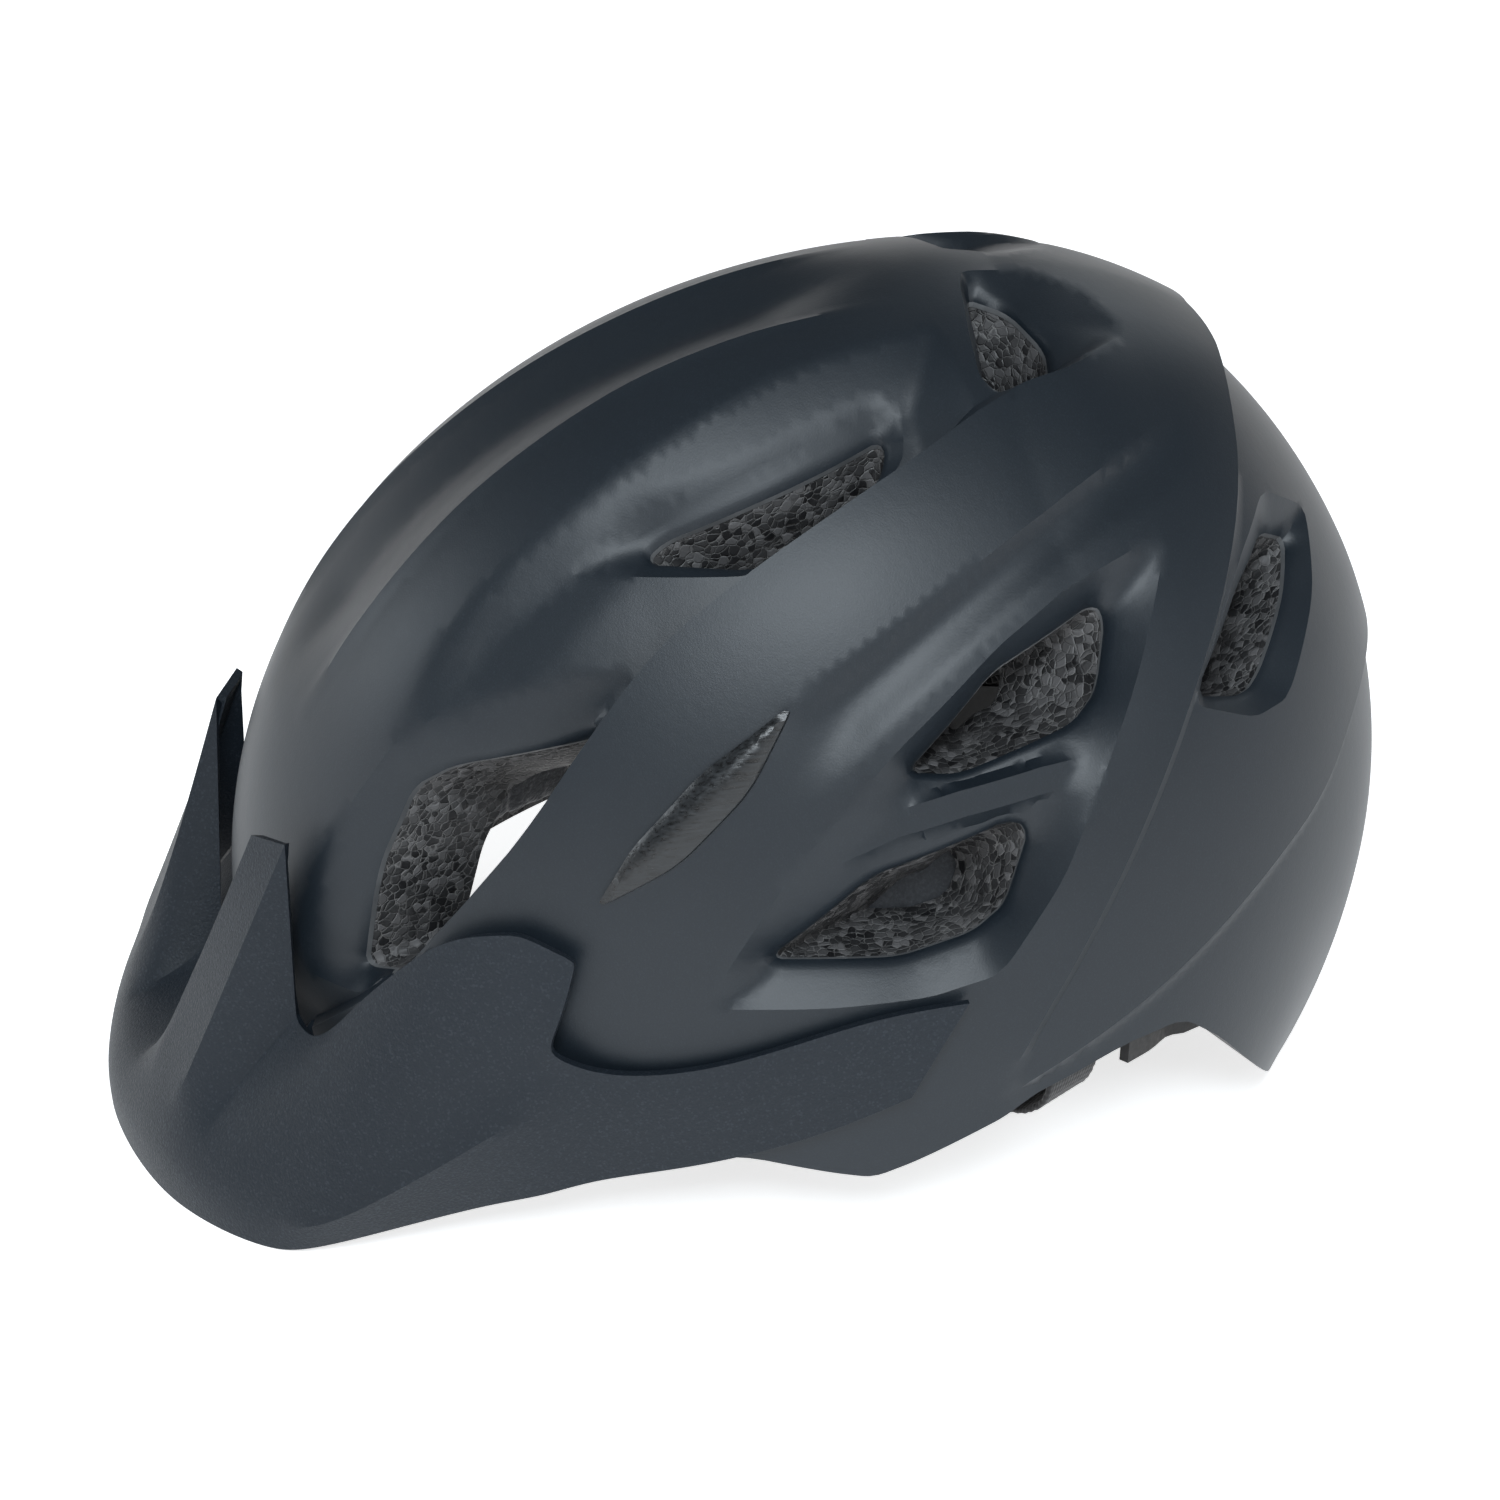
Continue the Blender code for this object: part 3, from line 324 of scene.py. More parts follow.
def relief(chart):
    """Height of the skin above the plain dome in millimetres."""
    height = np.zeros(len(chart))
    ahead = chart[:, 0]
    off_middle = np.clip(90.0 - np.hypot(ahead, chart[:, 1]), 0.0, None)
    turn = np.degrees(np.arctan2(chart[:, 1], ahead))

    # The crown's central channel has soft flanks and a crisp edge on each side.
    to_low = side_of(chart, GROOVE_LOW)
    across = off_middle / np.maximum(off_middle + np.abs(to_low), 1e-6)
    flank = 1.0 - (np.sqrt(across**2 + 0.05) - FLANK_FLOOR) / (math.sqrt(1.05) - FLANK_FLOOR)
    ends = smooth((turn - 19.0) / 12.0) * smooth((88.0 - turn) / 16.0)
    height -= np.where(to_low < 0, GROOVE_DEPTH * flank * ends, 0.0)
    height += GROOVE_LIP * np.clip(1.0 - np.abs(to_low) / LIP_REACH, 0.0, 1.0) * ends

    # The band is a chamfer that widens round the upper vent; the field below it ends at the main crease.
    above_crease = -side_of(chart, MAIN_CREASE)
    to_top = distance_to(chart, FACET_TOP, False)
    in_facet = inside(chart, FACET_TOP + [point for point in MAIN_CREASE[::-1] if point[0] > 0.2])
    drop = np.interp(ahead, *BAND_DROP)
    drop = drop * smooth((66.0 - ahead) / 10.0)
    drop = drop * np.clip(to_top / band_width(ahead), 0.0, 1.0) * smooth(above_crease / WALL)
    height -= np.where(in_facet, drop, 0.0)
    along = smooth((ahead + 24.0) / 12.0)
    depth = CREASE_DEPTH * smooth((ahead - 1.0) / 8.0)
    panel = PANEL_RISE * np.clip(1.0 + above_crease / PANEL_REACH, 0.0, 1.0)
    wall = PANEL_RISE - (PANEL_RISE + depth) * smooth(above_crease / WALL)
    floor = -depth * np.clip(1.0 - (above_crease - WALL) / CREASE_REACH, 0.0, 1.0)
    height += along * np.where(above_crease <= 0, panel, np.where(above_crease < WALL, wall, floor))

    # A crisp line and a shallow valley run back from the trim's upper tip above the ear pocket.
    high, low = side_of(chart, RIDGE_HIGH), -side_of(chart, RIDGE_LOW)
    share = high / np.maximum(high + low, 1e-6)
    valley = np.minimum(share / 0.3, (1.0 - share) / 0.7)
    ends = smooth((28.0 - ahead) / 9.0) * smooth((ahead + 27.0) / 14.0)
    height -= np.where((high > 0) & (low > 0), VALLEY_DEPTH * smooth(valley) ** 0.7 * ends, 0.0)

    # The side panel's rear edge stands over the rear panel.
    behind = -side_of(chart, REAR_EDGE)
    share = smooth((chart[:, 1] - 34.0) / 40.0)
    rise = (EDGE_RISE + EDGE_RISE_HIGH * share) * smooth((chart[:, 1] + 6.0) / 10.0)
    before_edge = np.clip(1.0 + behind / (10.0 + 20.0 * share), 0.0, 1.0)
    height += rise * np.where(behind < 0, before_edge, 1.0 - smooth(behind / (WALL + 0.8 * share)))
    sunk = side_of(chart, BRAND_LOW)
    height -= np.where(sunk > 0, BRAND_DEPTH * smooth(sunk / 1.4), 0.0) * smooth((6.0 - ahead) / 6.0)

    for vent, depth, pocket in POCKETS:
        within = inside(chart, pocket)
        to_pocket = distance_to(chart, pocket, True)
        to_vent = np.where(inside(chart, vent), 0.0, distance_to(chart, vent, True))
        share = to_pocket / np.maximum(to_pocket + to_vent, 1e-6)
        height = np.where(within, height - depth * share, height)
    within = inside(chart, EAR_POCKET)
    to_pocket = distance_to(chart, EAR_POCKET, True)
    to_vent = np.minimum(*[
        np.where(inside(chart, vent), 0.0, distance_to(chart, vent, True)) for vent in SOFT_VENTS[3:5]
    ])
    floor = -EAR_DEPTH * to_pocket / np.maximum(to_pocket + to_vent, 1e-6)
    rib = distance_to(chart, EAR_RIB, False)
    floor = np.maximum(floor, -RIB_DEPTH - (EAR_DEPTH - RIB_DEPTH) * smooth((rib - RIB_HALF) / RIB_FLANK))
    height = np.where(within, height + floor, height)

    within = np.where(inside(chart, SIDE_INSERT), distance_to(chart, SIDE_INSERT, True), 0.0)
    height -= INSERT_DEPTH * smooth(within / 0.9)
    for vent, rim in zip(SOFT_VENTS, VENT_RIM):
        near = np.clip(1.0 - distance_to(chart, vent, True) / LIP, 0.0, 1.0)
        height += (np.minimum(rim, height - 0.8) - height) * (1.0 - np.sqrt(1.0 - near**2))
    return height


# Meshes.


def chart_sheet(outline, holes, lines, step):
    """(chart points, triangles) over a chart region with holes; the lines become edges."""
    points, edges = [], []
    paths = [(outline, True)] + [(hole, True) for hole in holes] + lines
    for path, closed in paths:
        first = len(points)
        points += [tuple(point) for point in path]
        edges += [(first + i, first + i + 1) for i in range(len(path) - 1)]
        if closed:
            edges.append((len(points) - 1, first))
    fixed = np.array(points)
    low, high = fixed.min(axis=0), fixed.max(axis=0)
    row_height = step * math.sqrt(3) / 2
    rows, columns = int((high[1] - low[1]) / row_height) + 2, int((high[0] - low[0]) / step) + 2
    row, column = np.mgrid[0:rows, 0:columns]
    lattice = np.column_stack([
        (low[0] + step * (column + 0.5 * (row % 2))).ravel(), (low[1] + row_height * row).ravel(),
    ])
    lattice = lattice[inside(lattice, outline)]
    lattice = lattice[np.hypot(lattice[:, 0], lattice[:, 1]) < 90.0 - 0.4 * step]
    for hole in holes:
        lattice = lattice[~inside(lattice, hole)]
    for path, closed in paths:
        lattice = lattice[distance_to(lattice, path, closed) > 0.45 * step]
    points += [tuple(point) for point in lattice]
    found = delaunay_2d_cdt(points, edges, [], 0, 0.02)
    chart = np.array([tuple(point) for point in found[0]])
    faces = np.array(found[2])
    corners = chart[faces]
    first, second = corners[:, 1] - corners[:, 0], corners[:, 2] - corners[:, 0]
    middle = corners.mean(axis=1)
    doubled_area = np.abs(first[:, 0] * second[:, 1] - first[:, 1] * second[:, 0])
    wanted = inside(middle, outline) & (doubled_area > 1e-4)
    for hole in holes:
        wanted &= ~inside(middle, hole)
    return chart, faces[wanted]


def half_outline():
    """The left half's outline: along the lower rim, then back over the crown on the middle plane."""
    brow_turn, nape_turn = math.radians(-6.6), math.radians(187.0)
    count = int(194 / STEP)
    turns = [nape_turn + (brow_turn - nape_turn) * i / count for i in range(count + 1)]
    rim = divided(chaikin(RIM, False, 2, 0.16), STEP, False)
    return rim + [90.0 * np.array([math.cos(t), math.sin(t)]) for t in turns]


def facing_out(rays, faces):
    corners = rays[faces]
    normals = np.cross(corners[:, 1] - corners[:, 0], corners[:, 2] - corners[:, 0])
    facing = np.einsum("ij,ij->i", normals, corners[:, 0])
    return np.where(facing[:, None] < 0, faces[:, ::-1], faces)


def used_only(arrays, faces):
    used = np.unique(faces)
    place = np.zeros(len(arrays[0]), int)
    place[used] = np.arange(len(used))
    return [array[used] for array in arrays], place[faces]


def mirrored(sheets, seam, faces):
    """Each sheet of points with its mirror image, joined along the middle plane."""
    count = len(seam)
    twin = np.arange(count)
    twin[~seam] = count + np.arange((~seam).sum())
    whole = [np.vstack([points, points[~seam] * [-1.0, 1.0, 1.0]]) for points in sheets]
    return whole, np.vstack([faces, twin[faces][:, ::-1]])


def thicken(outer, inner, faces):
    """A closed solid between two sheets that share their faces."""
    count = len(outer)
    faces = [list(map(int, face)) for face in faces]
    directed = {(face[i], face[(i + 1) % len(face)]) for face in faces for i in range(len(face))}
    walls = [[b, a, a + count, b + count] for a, b in directed if (b, a) not in directed]
    backs = [[corner + count for corner in reversed(face)] for face in faces]
    return np.vstack([outer, inner]), faces + backs + sorted(walls)


def new_piece(name, points, faces, material, body, slot, replaced=(), sharp=40.0):
    """A closed piece from design-frame points that rides on a body and may stand for CAD nodes."""
    mesh = bpy.data.meshes.new(name)
    points = (np.asarray(points, float) + SHIFT) * MM
    mesh.from_pydata(points.tolist(), [], [list(map(int, face)) for face in faces])
    mesh.validate()
    work = bmesh.new()
    work.from_mesh(mesh)
    bmesh.ops.recalc_face_normals(work, faces=work.faces)
    work.to_mesh(mesh)
    work.free()
    mesh.shade_smooth()
    mesh.set_sharp_from_angle(angle=math.radians(sharp))
    obj = new_object(name, mesh)
    mesh.materials.append(material)
    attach(obj, body)
    if replaced:
        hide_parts(*replaced)
    return obj


def add_bevel(obj, width, segments=2, angle=50.0):
    modifier = obj.modifiers.new("Bevel", "BEVEL")
    modifier.width = width * MM
    modifier.segments = segments
    modifier.limit_method = "ANGLE"
    modifier.angle_limit = math.radians(angle)
    modifier.harden_normals = False


def tapered(chart):
    """The chart with each vent's surroundings drawn in, so that the vent narrows towards the cavity."""
    moved = chart.copy()
    for vent, share, lean in zip(SOFT_VENTS, VENT_TAPER, VENT_LEAN):
        middle = np.mean(vent, axis=0)
        near = smooth(1.0 - distance_to(chart, vent, True) / TAPER_REACH)
        near = np.where(np.hypot(chart[:, 0], chart[:, 1]) > 89.9, 0.0, near)
        moved += ((middle - chart) * share + lean) * near[:, None]
    return moved


def fine_sheet():
    holes = [divided(vent, STEP * 0.8, True) for vent in SOFT_VENTS]
    lines = [(shrunk(hole, off), True) for hole in holes for off in (0.3, 0.65, 1.0)]
    lines += [(path, False) for path in (
        GROOVE_LOW, beside(GROOVE_LOW, LIP_REACH), beside(GROOVE_LOW, -LIP_REACH),
        beside(BAND_TOP, band_width(np.array(BAND_TOP)[:, 0])), FACET_TOP, MAIN_CREASE,
        beside(MAIN_CREASE, -WALL), REAR_EDGE[2:], beside(REAR_EDGE, -WALL)[2:],
        BRAND_LOW, RIDGE_HIGH, RIDGE_LOW,
        *(beside(EAR_RIB, by) for by in (-2.6, -RIB_HALF, RIB_HALF, 2.6)),
    )]
    lines += [(pocket, True) for pocket in (
        EAR_POCKET, FRONT_POCKET, UPPER_POCKET, CROWN_POCKET, REAR_POCKET, SIDE_INSERT,
    )]
    return chart_sheet(half_outline(), holes, lines, STEP)


def build_shell(skin, foam, painted_edge_highlight):
    chart, faces = fine_sheet()
    rays = directions(chart)
    seam = np.hypot(chart[:, 0], chart[:, 1]) > 89.99
    rays[seam, 0] = 0.0
    faces = facing_out(rays, faces)
    height = relief(chart)
    radius = dome_radius(rays) + height
    outer = CENTRE + rays * radius[:, None]
    under = CENTRE + rays * (radius - SKIN)[:, None]
    crust = CENTRE + rays * (radius - SKIN - FOAM_GAP)[:, None]
    inward = directions(tapered(chart))
    inward[seam, 0] = 0.0
    cavity = CENTRE + inward * cavity_radius(inward)[:, None]
    (outer, under, crust, cavity), faces = used_only([outer, under, crust, cavity], faces)
    seam = np.abs(outer[:, 0]) < 1e-6
    (outer, under, crust, cavity), faces = mirrored([outer, under, crust, cavity], seam, faces)
    solid = thicken(outer, under, faces)
    shell = new_piece("shell_skin", *solid, skin, "helmet", "skin", ["outer_shell"], 28.0)
    shell.data.materials.append(painted_edge_highlight)
    # The vent walls above the rim get the second material, a pale grey that is a painted highlight along the
    # skin's cut edge.
    for wall in shell.data.polygons[2 * len(faces):]:
        wall.material_index = int(wall.center.z > RIM_TOP * MM)
    new_piece("foam_body", *thicken(crust, cavity, faces), foam, "helmet", "foam", ["eps_liner"], 40.0)


# Visor.

# Half of the visor's outer face as (x, y, z), from the middle out; each column runs from the lower edge up.
VISOR_FRONT = [
    [(0, -184, 0), (0, -184.5, 9), (0, -180, 17), (0, -173, 20.5), (0, -163, 24), (0, -155, 30)],
    [(14, -182.6, 0), (14, -183, 9), (13, -178.5, 17.5), (12, -172.5, 21.5), (13, -163, 25),
     (15, -154.5, 31)],
    [(27, -180, 0), (27, -180.5, 10), (24, -176, 21), (22, -170, 32), (27, -160, 55), (33, -149.5, 82)],
    [(40, -176, 0), (40, -176.5, 10), (40, -172.5, 21), (40, -166.5, 33), (41, -156, 56), (43, -143.5, 84)],
    [(50, -171, 0), (50, -171.5, 10), (48.5, -167, 18), (46, -161, 25), (45, -152.5, 34), (46, -144.5, 43)],
    [(60, -164, 0), (60, -164, 9), (58, -160, 18), (56, -154, 27), (56, -148, 34), (57, -142, 42)],
    [(68, -156, 0), (68.5, -155, 7), (67, -150, 20), (65, -143, 34), (64, -137, 46), (63, -132, 56)],
    [(72.5, -149, 1), (76, -147.5, 8), (74, -140, 25), (73, -133, 41), (71.5, -127, 55), (70, -121, 69)],
    [(77, -128, 7), (81.5, -130, 19), (79.5, -124, 34), (79.5, -119, 47), (78, -115.5, 62), (76, -113, 76)],
    [(81.5, -110, 12.5), (86.5, -113, 31), (84.5, -108, 42), (85, -104, 53), (84, -102, 66),
     (82.5, -101, 78)],
    [(86, -99, 15.5), (89.5, -100.5, 40), (88.5, -98.5, 47), (88.5, -97.5, 52.5), (89, -93.5, 63),
     (88, -90.5, 73)],
]
VISOR_ARM = [  # (y, z) of the arm's columns, which follow the dome
    [(-87, 19.5), (-87, 38), (-86.5, 42), (-86, 45.5)],
    [(-68, 24.5), (-68, 38), (-67.5, 43), (-67, 48)],
    [(-48, 31), (-48.5, 43), (-48, 49), (-47.5, 55)],
    [(-34, 37), (-33, 48), (-32, 55), (-30, 61)],
    [(-24, 41.5), (-20, 49), (-16, 56), (-12, 62.5)],
]
VISOR_THICK = 2.0
ARM_STAND_OFF = 3.7
TIP_CREASES = [  # column, row and how sharp the corner stays
    (2, 5, 0.9), (3, 5, 0.9), (9, 5, 0.4), (10, 5, 0.45), (10, 3, 0.35), (15, 3, 0.95), (15, 0, 0.9),
]


def over_dome(y, z, stand_off):
    """The point that stands off the plain dome at this place on its left side."""
    rel_y, rel_z = y - CENTRE[1], z - CENTRE[2]
    length = DOME["front"] if rel_y < 0 else DOME["rear"]
    height = DOME["up"] if rel_z > 0 else DOME["down"]
    width = DOME["width"]
    x = width * math.sqrt(1.0 - (rel_y / length) ** 2 - (rel_z / height) ** 2)
    normal = np.array([x / width**2, rel_y / length**2, rel_z / height**2])
    return np.array([x, y, z]) + stand_off * normal / np.linalg.norm(normal)


def visor_creases():
    """(column, row) to (column, row) pairs of the visor's grid with how sharp each edge stays."""
    creases = {}
    for row in range(2, 5):
        for column, value in ((2, 1.0), (3, 1.0), (1, 0.6), (4, 0.6)):
            creases[(column, row), (column, row + 1)] = value
    for column in range(6, 10):
        creases[(column, 1), (column + 1, 1)] = 1.0
    for column in range(8, 10):
        creases[(column, 5), (column + 1, 5)] = 0.6
    for row in range(1, 5):
        creases[(6, row), (6, row + 1)] = 0.35
    for column in range(7):
        creases[(column, 0), (column + 1, 0)] = 0.9
    return creases


def build_visor(material):
    columns = [[np.array(point, float) for point in column] for column in VISOR_FRONT]
    columns += [[over_dome(y, z, ARM_STAND_OFF) for y, z in column] for column in VISOR_ARM]
    points, index = [], {}
    for c, column in enumerate(columns):
        for r, point in enumerate(column):
            for side in (1, -1) if c else (1,):
                index[side, c, r] = len(points)
                points.append(point * [side, 1, 1])
    for r in range(len(columns[0])):
        index[-1, 0, r] = index[1, 0, r]
    faces = []
    for c, (left, right) in enumerate(zip(columns, columns[1:])):
        for r in range(min(len(left), len(right)) - 1):
            quad = [(c, r), (c + 1, r), (c + 1, r + 1), (c, r + 1)]
            faces.append([index[(1, *corner)] for corner in quad])
            faces.append([index[(-1, *corner)] for corner in reversed(quad)])
    mesh = bpy.data.meshes.new("visor_grid")
    mesh.from_pydata([tuple(point) for point in points], [], faces)
    sharp = {}
    for (start, end), value in visor_creases().items():
        for side in (1, -1):
            sharp[frozenset((index[(side, *start)], index[(side, *end)]))] = value
    crease = mesh.attributes.new("crease_edge", "FLOAT", "EDGE")
    for edge in mesh.edges:
        crease.data[edge.index].value = sharp.get(frozenset(edge.vertices), 0.0)
    corners = mesh.attributes.new("crease_vert", "FLOAT", "POINT")
    for c, r, value in TIP_CREASES:
        for side in (1, -1):
            corners.data[index[side, c, r]].value = value
    grid = new_object("visor_grid", mesh)
    subdivide = grid.modifiers.new("Subdivision", "SUBSURF")
    subdivide.levels = subdivide.render_levels = 3
    evaluated = grid.evaluated_get(bpy.context.evaluated_depsgraph_get()).to_mesh()
    outer = np.array([vertex.co for vertex in evaluated.vertices], float)
    faces = [list(polygon.vertices) for polygon in evaluated.polygons]
    bpy.data.objects.remove(grid)
    normals = np.zeros_like(outer)
    for a, b, c, d in faces:
        normals[[a, b, c, d]] += np.cross(outer[c] - outer[a], outer[d] - outer[b])
    normals /= np.linalg.norm(normals, axis=1)[:, None]
    inner = outer - VISOR_THICK * normals
    outer[:, 2] = np.maximum(outer[:, 2], 0.0)
    inner[:, 2] = np.maximum(inner[:, 2], 0.0)
    solid = thicken(outer, inner, faces)
    visor = new_piece("visor_body", *solid, material, "visor", "visor", ["visor"], 30.0)
    add_bevel(visor, 0.7, 3, 55.0)


def build_inserts(material):
    """The two gloss trims, crowned in the middle."""
    chart, faces = chart_sheet(SIDE_INSERT, [], [], 0.9)
    rays = directions(chart)
    faces = facing_out(rays, faces)
    crown = np.sqrt(np.clip(distance_to(chart, SIDE_INSERT, True) / 3.2, 0.0, 1.0))
    base = dome_radius(rays)
    outer = CENTRE + rays * (base + 1.5 + 2.3 * crown)[:, None]
    inner = CENTRE + rays * (base + 0.3 - 1.0 * crown)[:, None]
    for word, side in (("left", 1), ("right", -1)):
        points, solid = thicken(outer * [side, 1, 1], inner * [side, 1, 1], faces)
        replaced = [f"side_insert_{word}"]
        new_piece(f"temple_insert_{word}", points, solid, material, "helmet", "insert", replaced)


# Pads and webbing.

PADS = [  # node, body, how full, direction of its sewn channels and their spacing in millimetres
    ("brow_pad", "helmet", 0.55, "turn", 21.0), ("crown_pad", "helmet", 0.5, "x", 17.0),
    ("side_pad_left", "helmet", 0.5, "y", 16.0), ("side_pad_right", "helmet", 0.5, "y", 16.0),
    ("nape_pad", "cradle", 0.6, "x", 14.0),
]
# In metres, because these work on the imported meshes.
VOXEL = 0.0025
SWELL = 0.0016  # most that the cloth may move from the pad's cut shape
CHANNEL = 0.0009  # depth of a sewn channel
PAD_SHRINK = 0.0007  # taken off before the swelling
CLOTH_FRAMES = 20


def frozen(obj, name):
    """A new mesh object with the modifiers of obj applied; obj is removed."""
    bpy.context.view_layer.update()
    graph = bpy.context.evaluated_depsgraph_get()
    mesh = bpy.data.meshes.new_from_object(obj.evaluated_get(graph))
    bpy.data.objects.remove(obj)
    return new_object(name, mesh)


def per_point(mesh, field):
    """One vector for each point of a mesh: co is its place, normal its normal."""
    flat = np.empty(len(mesh.vertices) * 3, np.float32)
    mesh.vertices.foreach_get(field, flat)
    return flat.reshape(-1, 3).astype(float)


def move_points(mesh, points):
    mesh.vertices.foreach_set("co", points.astype(np.float32).ravel())
    mesh.update()


def blown_up(cut):
    """The cut shape swollen by cloth pressure, each point kept near where it was."""
    before = per_point(cut.data, "co")
    cloth = cut.modifiers.new("Cloth", "CLOTH")
    cloth.settings.quality = 5
    cloth.settings.use_pressure = True
    cloth.settings.uniform_pressure_force = 4.0
    cloth.settings.effector_weights.gravity = 0.0
    for step in range(1, CLOTH_FRAMES + 1):
        bpy.context.scene.frame_set(step)
    graph = bpy.context.evaluated_depsgraph_get()
    after = per_point(cut.evaluated_get(graph).data, "co")
    cut.modifiers.remove(cloth)
    bpy.context.scene.frame_set(1)
    move = after - before
    length = np.maximum(np.linalg.norm(move, axis=1), 1e-9)
    move *= (np.minimum(length, SWELL) / length)[:, None]
    move_points(cut.data, before + move)


def sew_channels(obj, direction, spacing):
    """Presses sewn channels into both faces of a pad."""
    points = per_point(obj.data, "co")
    design = points / MM - SHIFT
    if direction == "turn":
        along = np.arctan2(design[:, 0], -(design[:, 1] - CENTRE[1])) * 105.0
    else:
        along = np.abs(design[:, "xy".index(direction)] - (0.0 if direction == "x" else CENTRE[1]))
    off = np.abs((along / spacing) % 1.0 - 0.5) * spacing
    press = CHANNEL * np.exp(-((off / 1.3) ** 2))
    move_points(obj.data, points - per_point(obj.data, "normal") * press[:, None])


def build_pad(node, body, fill, direction, spacing, material):
    """A CAD pad's shape remeshed, blown up, smoothed and sewn."""
    cut = new_object("cut", frame["nodes"][node].data.copy())
    shrink = cut.modifiers.new("Shrink", "DISPLACE")
    shrink.strength, shrink.mid_level = -PAD_SHRINK, 0.0
    remesh = cut.modifiers.new("Remesh", "REMESH")
    remesh.mode, remesh.voxel_size = "VOXEL", VOXEL
    cut = frozen(cut, "cut")
    blown_up(cut)
    relax = cut.modifiers.new("Relax", "SMOOTH")
    relax.factor, relax.iterations = 0.5, 2
    rounder = cut.modifiers.new("Subdivision", "SUBSURF")
    rounder.levels = rounder.render_levels = 1
    pad = frozen(cut, node + "_cushion")
    sew_channels(pad, direction, spacing)
    pad.data.materials.clear()
    pad.data.materials.append(material)
    pad.data.shade_smooth()
    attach(pad, body)
    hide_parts(node)


def cavity_point(turn, z, inset):
    """The point at height z that stands inside the cavity wall; turn is degrees from +X towards +Y."""
    flat = np.array([math.cos(math.radians(turn)), math.sin(math.radians(turn)), 0.0])
    rel_z = z - CENTRE[2]
    reach = 80.0
    for _ in range(12):
        ray = flat * reach + [0, 0, rel_z]
        ray /= np.linalg.norm(ray)
        radius = cavity_radius(ray[None])[0]
        reach = math.sqrt(max(radius**2 - rel_z**2, 1.0))
    return CENTRE + flat * (reach - inset) + [0, 0, rel_z]


def cavity_tangent(turn, z):
    run = cavity_point(turn + 2.0, z, 0.0) - cavity_point(turn - 2.0, z, 0.0)
    return run / np.linalg.norm(run)


def curve_through(points, count):
    """Evenly spread points on a smooth curve through the given ones."""
    points = np.asarray(points, float)
    ends = np.vstack([2 * points[0] - points[1], points, 2 * points[-1] - points[-2]])
    out = []
    for a, b, c, d in zip(ends, ends[1:], ends[2:], ends[3:]):
        bend, twist = 2 * a - 5 * b + 4 * c - d, 3 * b - a - 3 * c + d
        for t in np.linspace(0, 1, 12, endpoint=False):
            out.append(b + 0.5 * ((c - a) * t + bend * t**2 + twist * t**3))
    out = np.array(out + [points[-1]])
    run = np.concatenate([[0], np.cumsum(np.linalg.norm(np.diff(out, axis=0), axis=1))])
    spots = np.linspace(0, run[-1], count)
    return np.column_stack([np.interp(spots, run, out[:, i]) for i in range(3)])


WEB_WIDE, WEB_THICK = 14.8, 1.15
WEB_PITCH = 2.2  # length of one twill rib
WEB_RIB, WEB_SELVEDGE = 0.09, 0.1
# Upper half of the section: across in half widths, then up in thicknesses.
WEB_CROSS = [(-1.0, 0.0), (-0.985, 0.36), (-0.95, 0.5)]
WEB_CROSS += [(u, 0.5) for u in np.linspace(-0.86, 0.86, 15)]
WEB_CROSS += [(0.95, 0.5), (0.985, 0.36), (1.0, 0.0)]
FRAME_COUNT = 22


def web_frames(route, across):
    """(points, width directions, face directions) along a strap, and how far along it each one is."""
    path = curve_through(route, FRAME_COUNT)
    share = np.linspace(0, 1, len(path))[:, None]
    spread = across if across is not None else np.cross(np.gradient(path, axis=0), [0, 0, 1])
    if isinstance(spread, tuple):
        spread = np.asarray(spread[0]) * (1 - share) + np.asarray(spread[1]) * share
    along = np.gradient(path, axis=0)
    along /= np.linalg.norm(along, axis=1)[:, None]
    side = spread - along * np.einsum("ij,ij->i", spread, along)[:, None]
    side /= np.linalg.norm(side, axis=1)[:, None]
    far = np.concatenate([[0.0], np.cumsum(np.linalg.norm(np.diff(path, axis=0), axis=1))])
    return (path, side, np.cross(along, side)), far


def sampled(frames, far, at):
    """The frames interpolated at one distance along the strap or at several."""
    return [np.stack([np.interp(at, far, rows[:, k]) for k in range(3)], axis=-1) for rows in frames]


def build_webbing(node, side, route, across, body, material):
    """Twill webbing with rolled selvedges: herringbone ribs across a rounded section."""
    frames, steps = web_frames(route, across)
    fine = np.linspace(0.0, steps[-1], max(12, int(steps[-1] / 0.55)))
    path, edge, face = sampled(frames, steps, fine)
    section = WEB_CROSS + [(u, -v) for u, v in reversed(WEB_CROSS[1:-1])]
    points, faces = [], []
    for at, wide, up, far in zip(path, edge, face, fine):
        for u, v in section:
            rib = WEB_RIB * math.sin(2 * math.pi * (far / WEB_PITCH + 1.6 * abs(abs(u) - 0.5)))
            selvedge = WEB_SELVEDGE if 0.88 < abs(u) < 0.97 else 0.0
            deep = v * WEB_THICK + math.copysign(rib + selvedge, v) * (abs(v) > 0.4)
            points.append((at + wide * u * WEB_WIDE / 2 + up * deep) * [side, 1, 1])
    count = len(section)
    for i in range(len(path) - 1):
        for k in range(count):
            n = (k + 1) % count
            faces.append([count * i + k, count * i + n, count * (i + 1) + n, count * (i + 1) + k])
    last = count * (len(path) - 1)
    faces += [list(range(count))[::-1], list(range(last, last + count))]
    new_piece(node + "_twill", points, faces, material, body, "webbing", [node], 70.0)


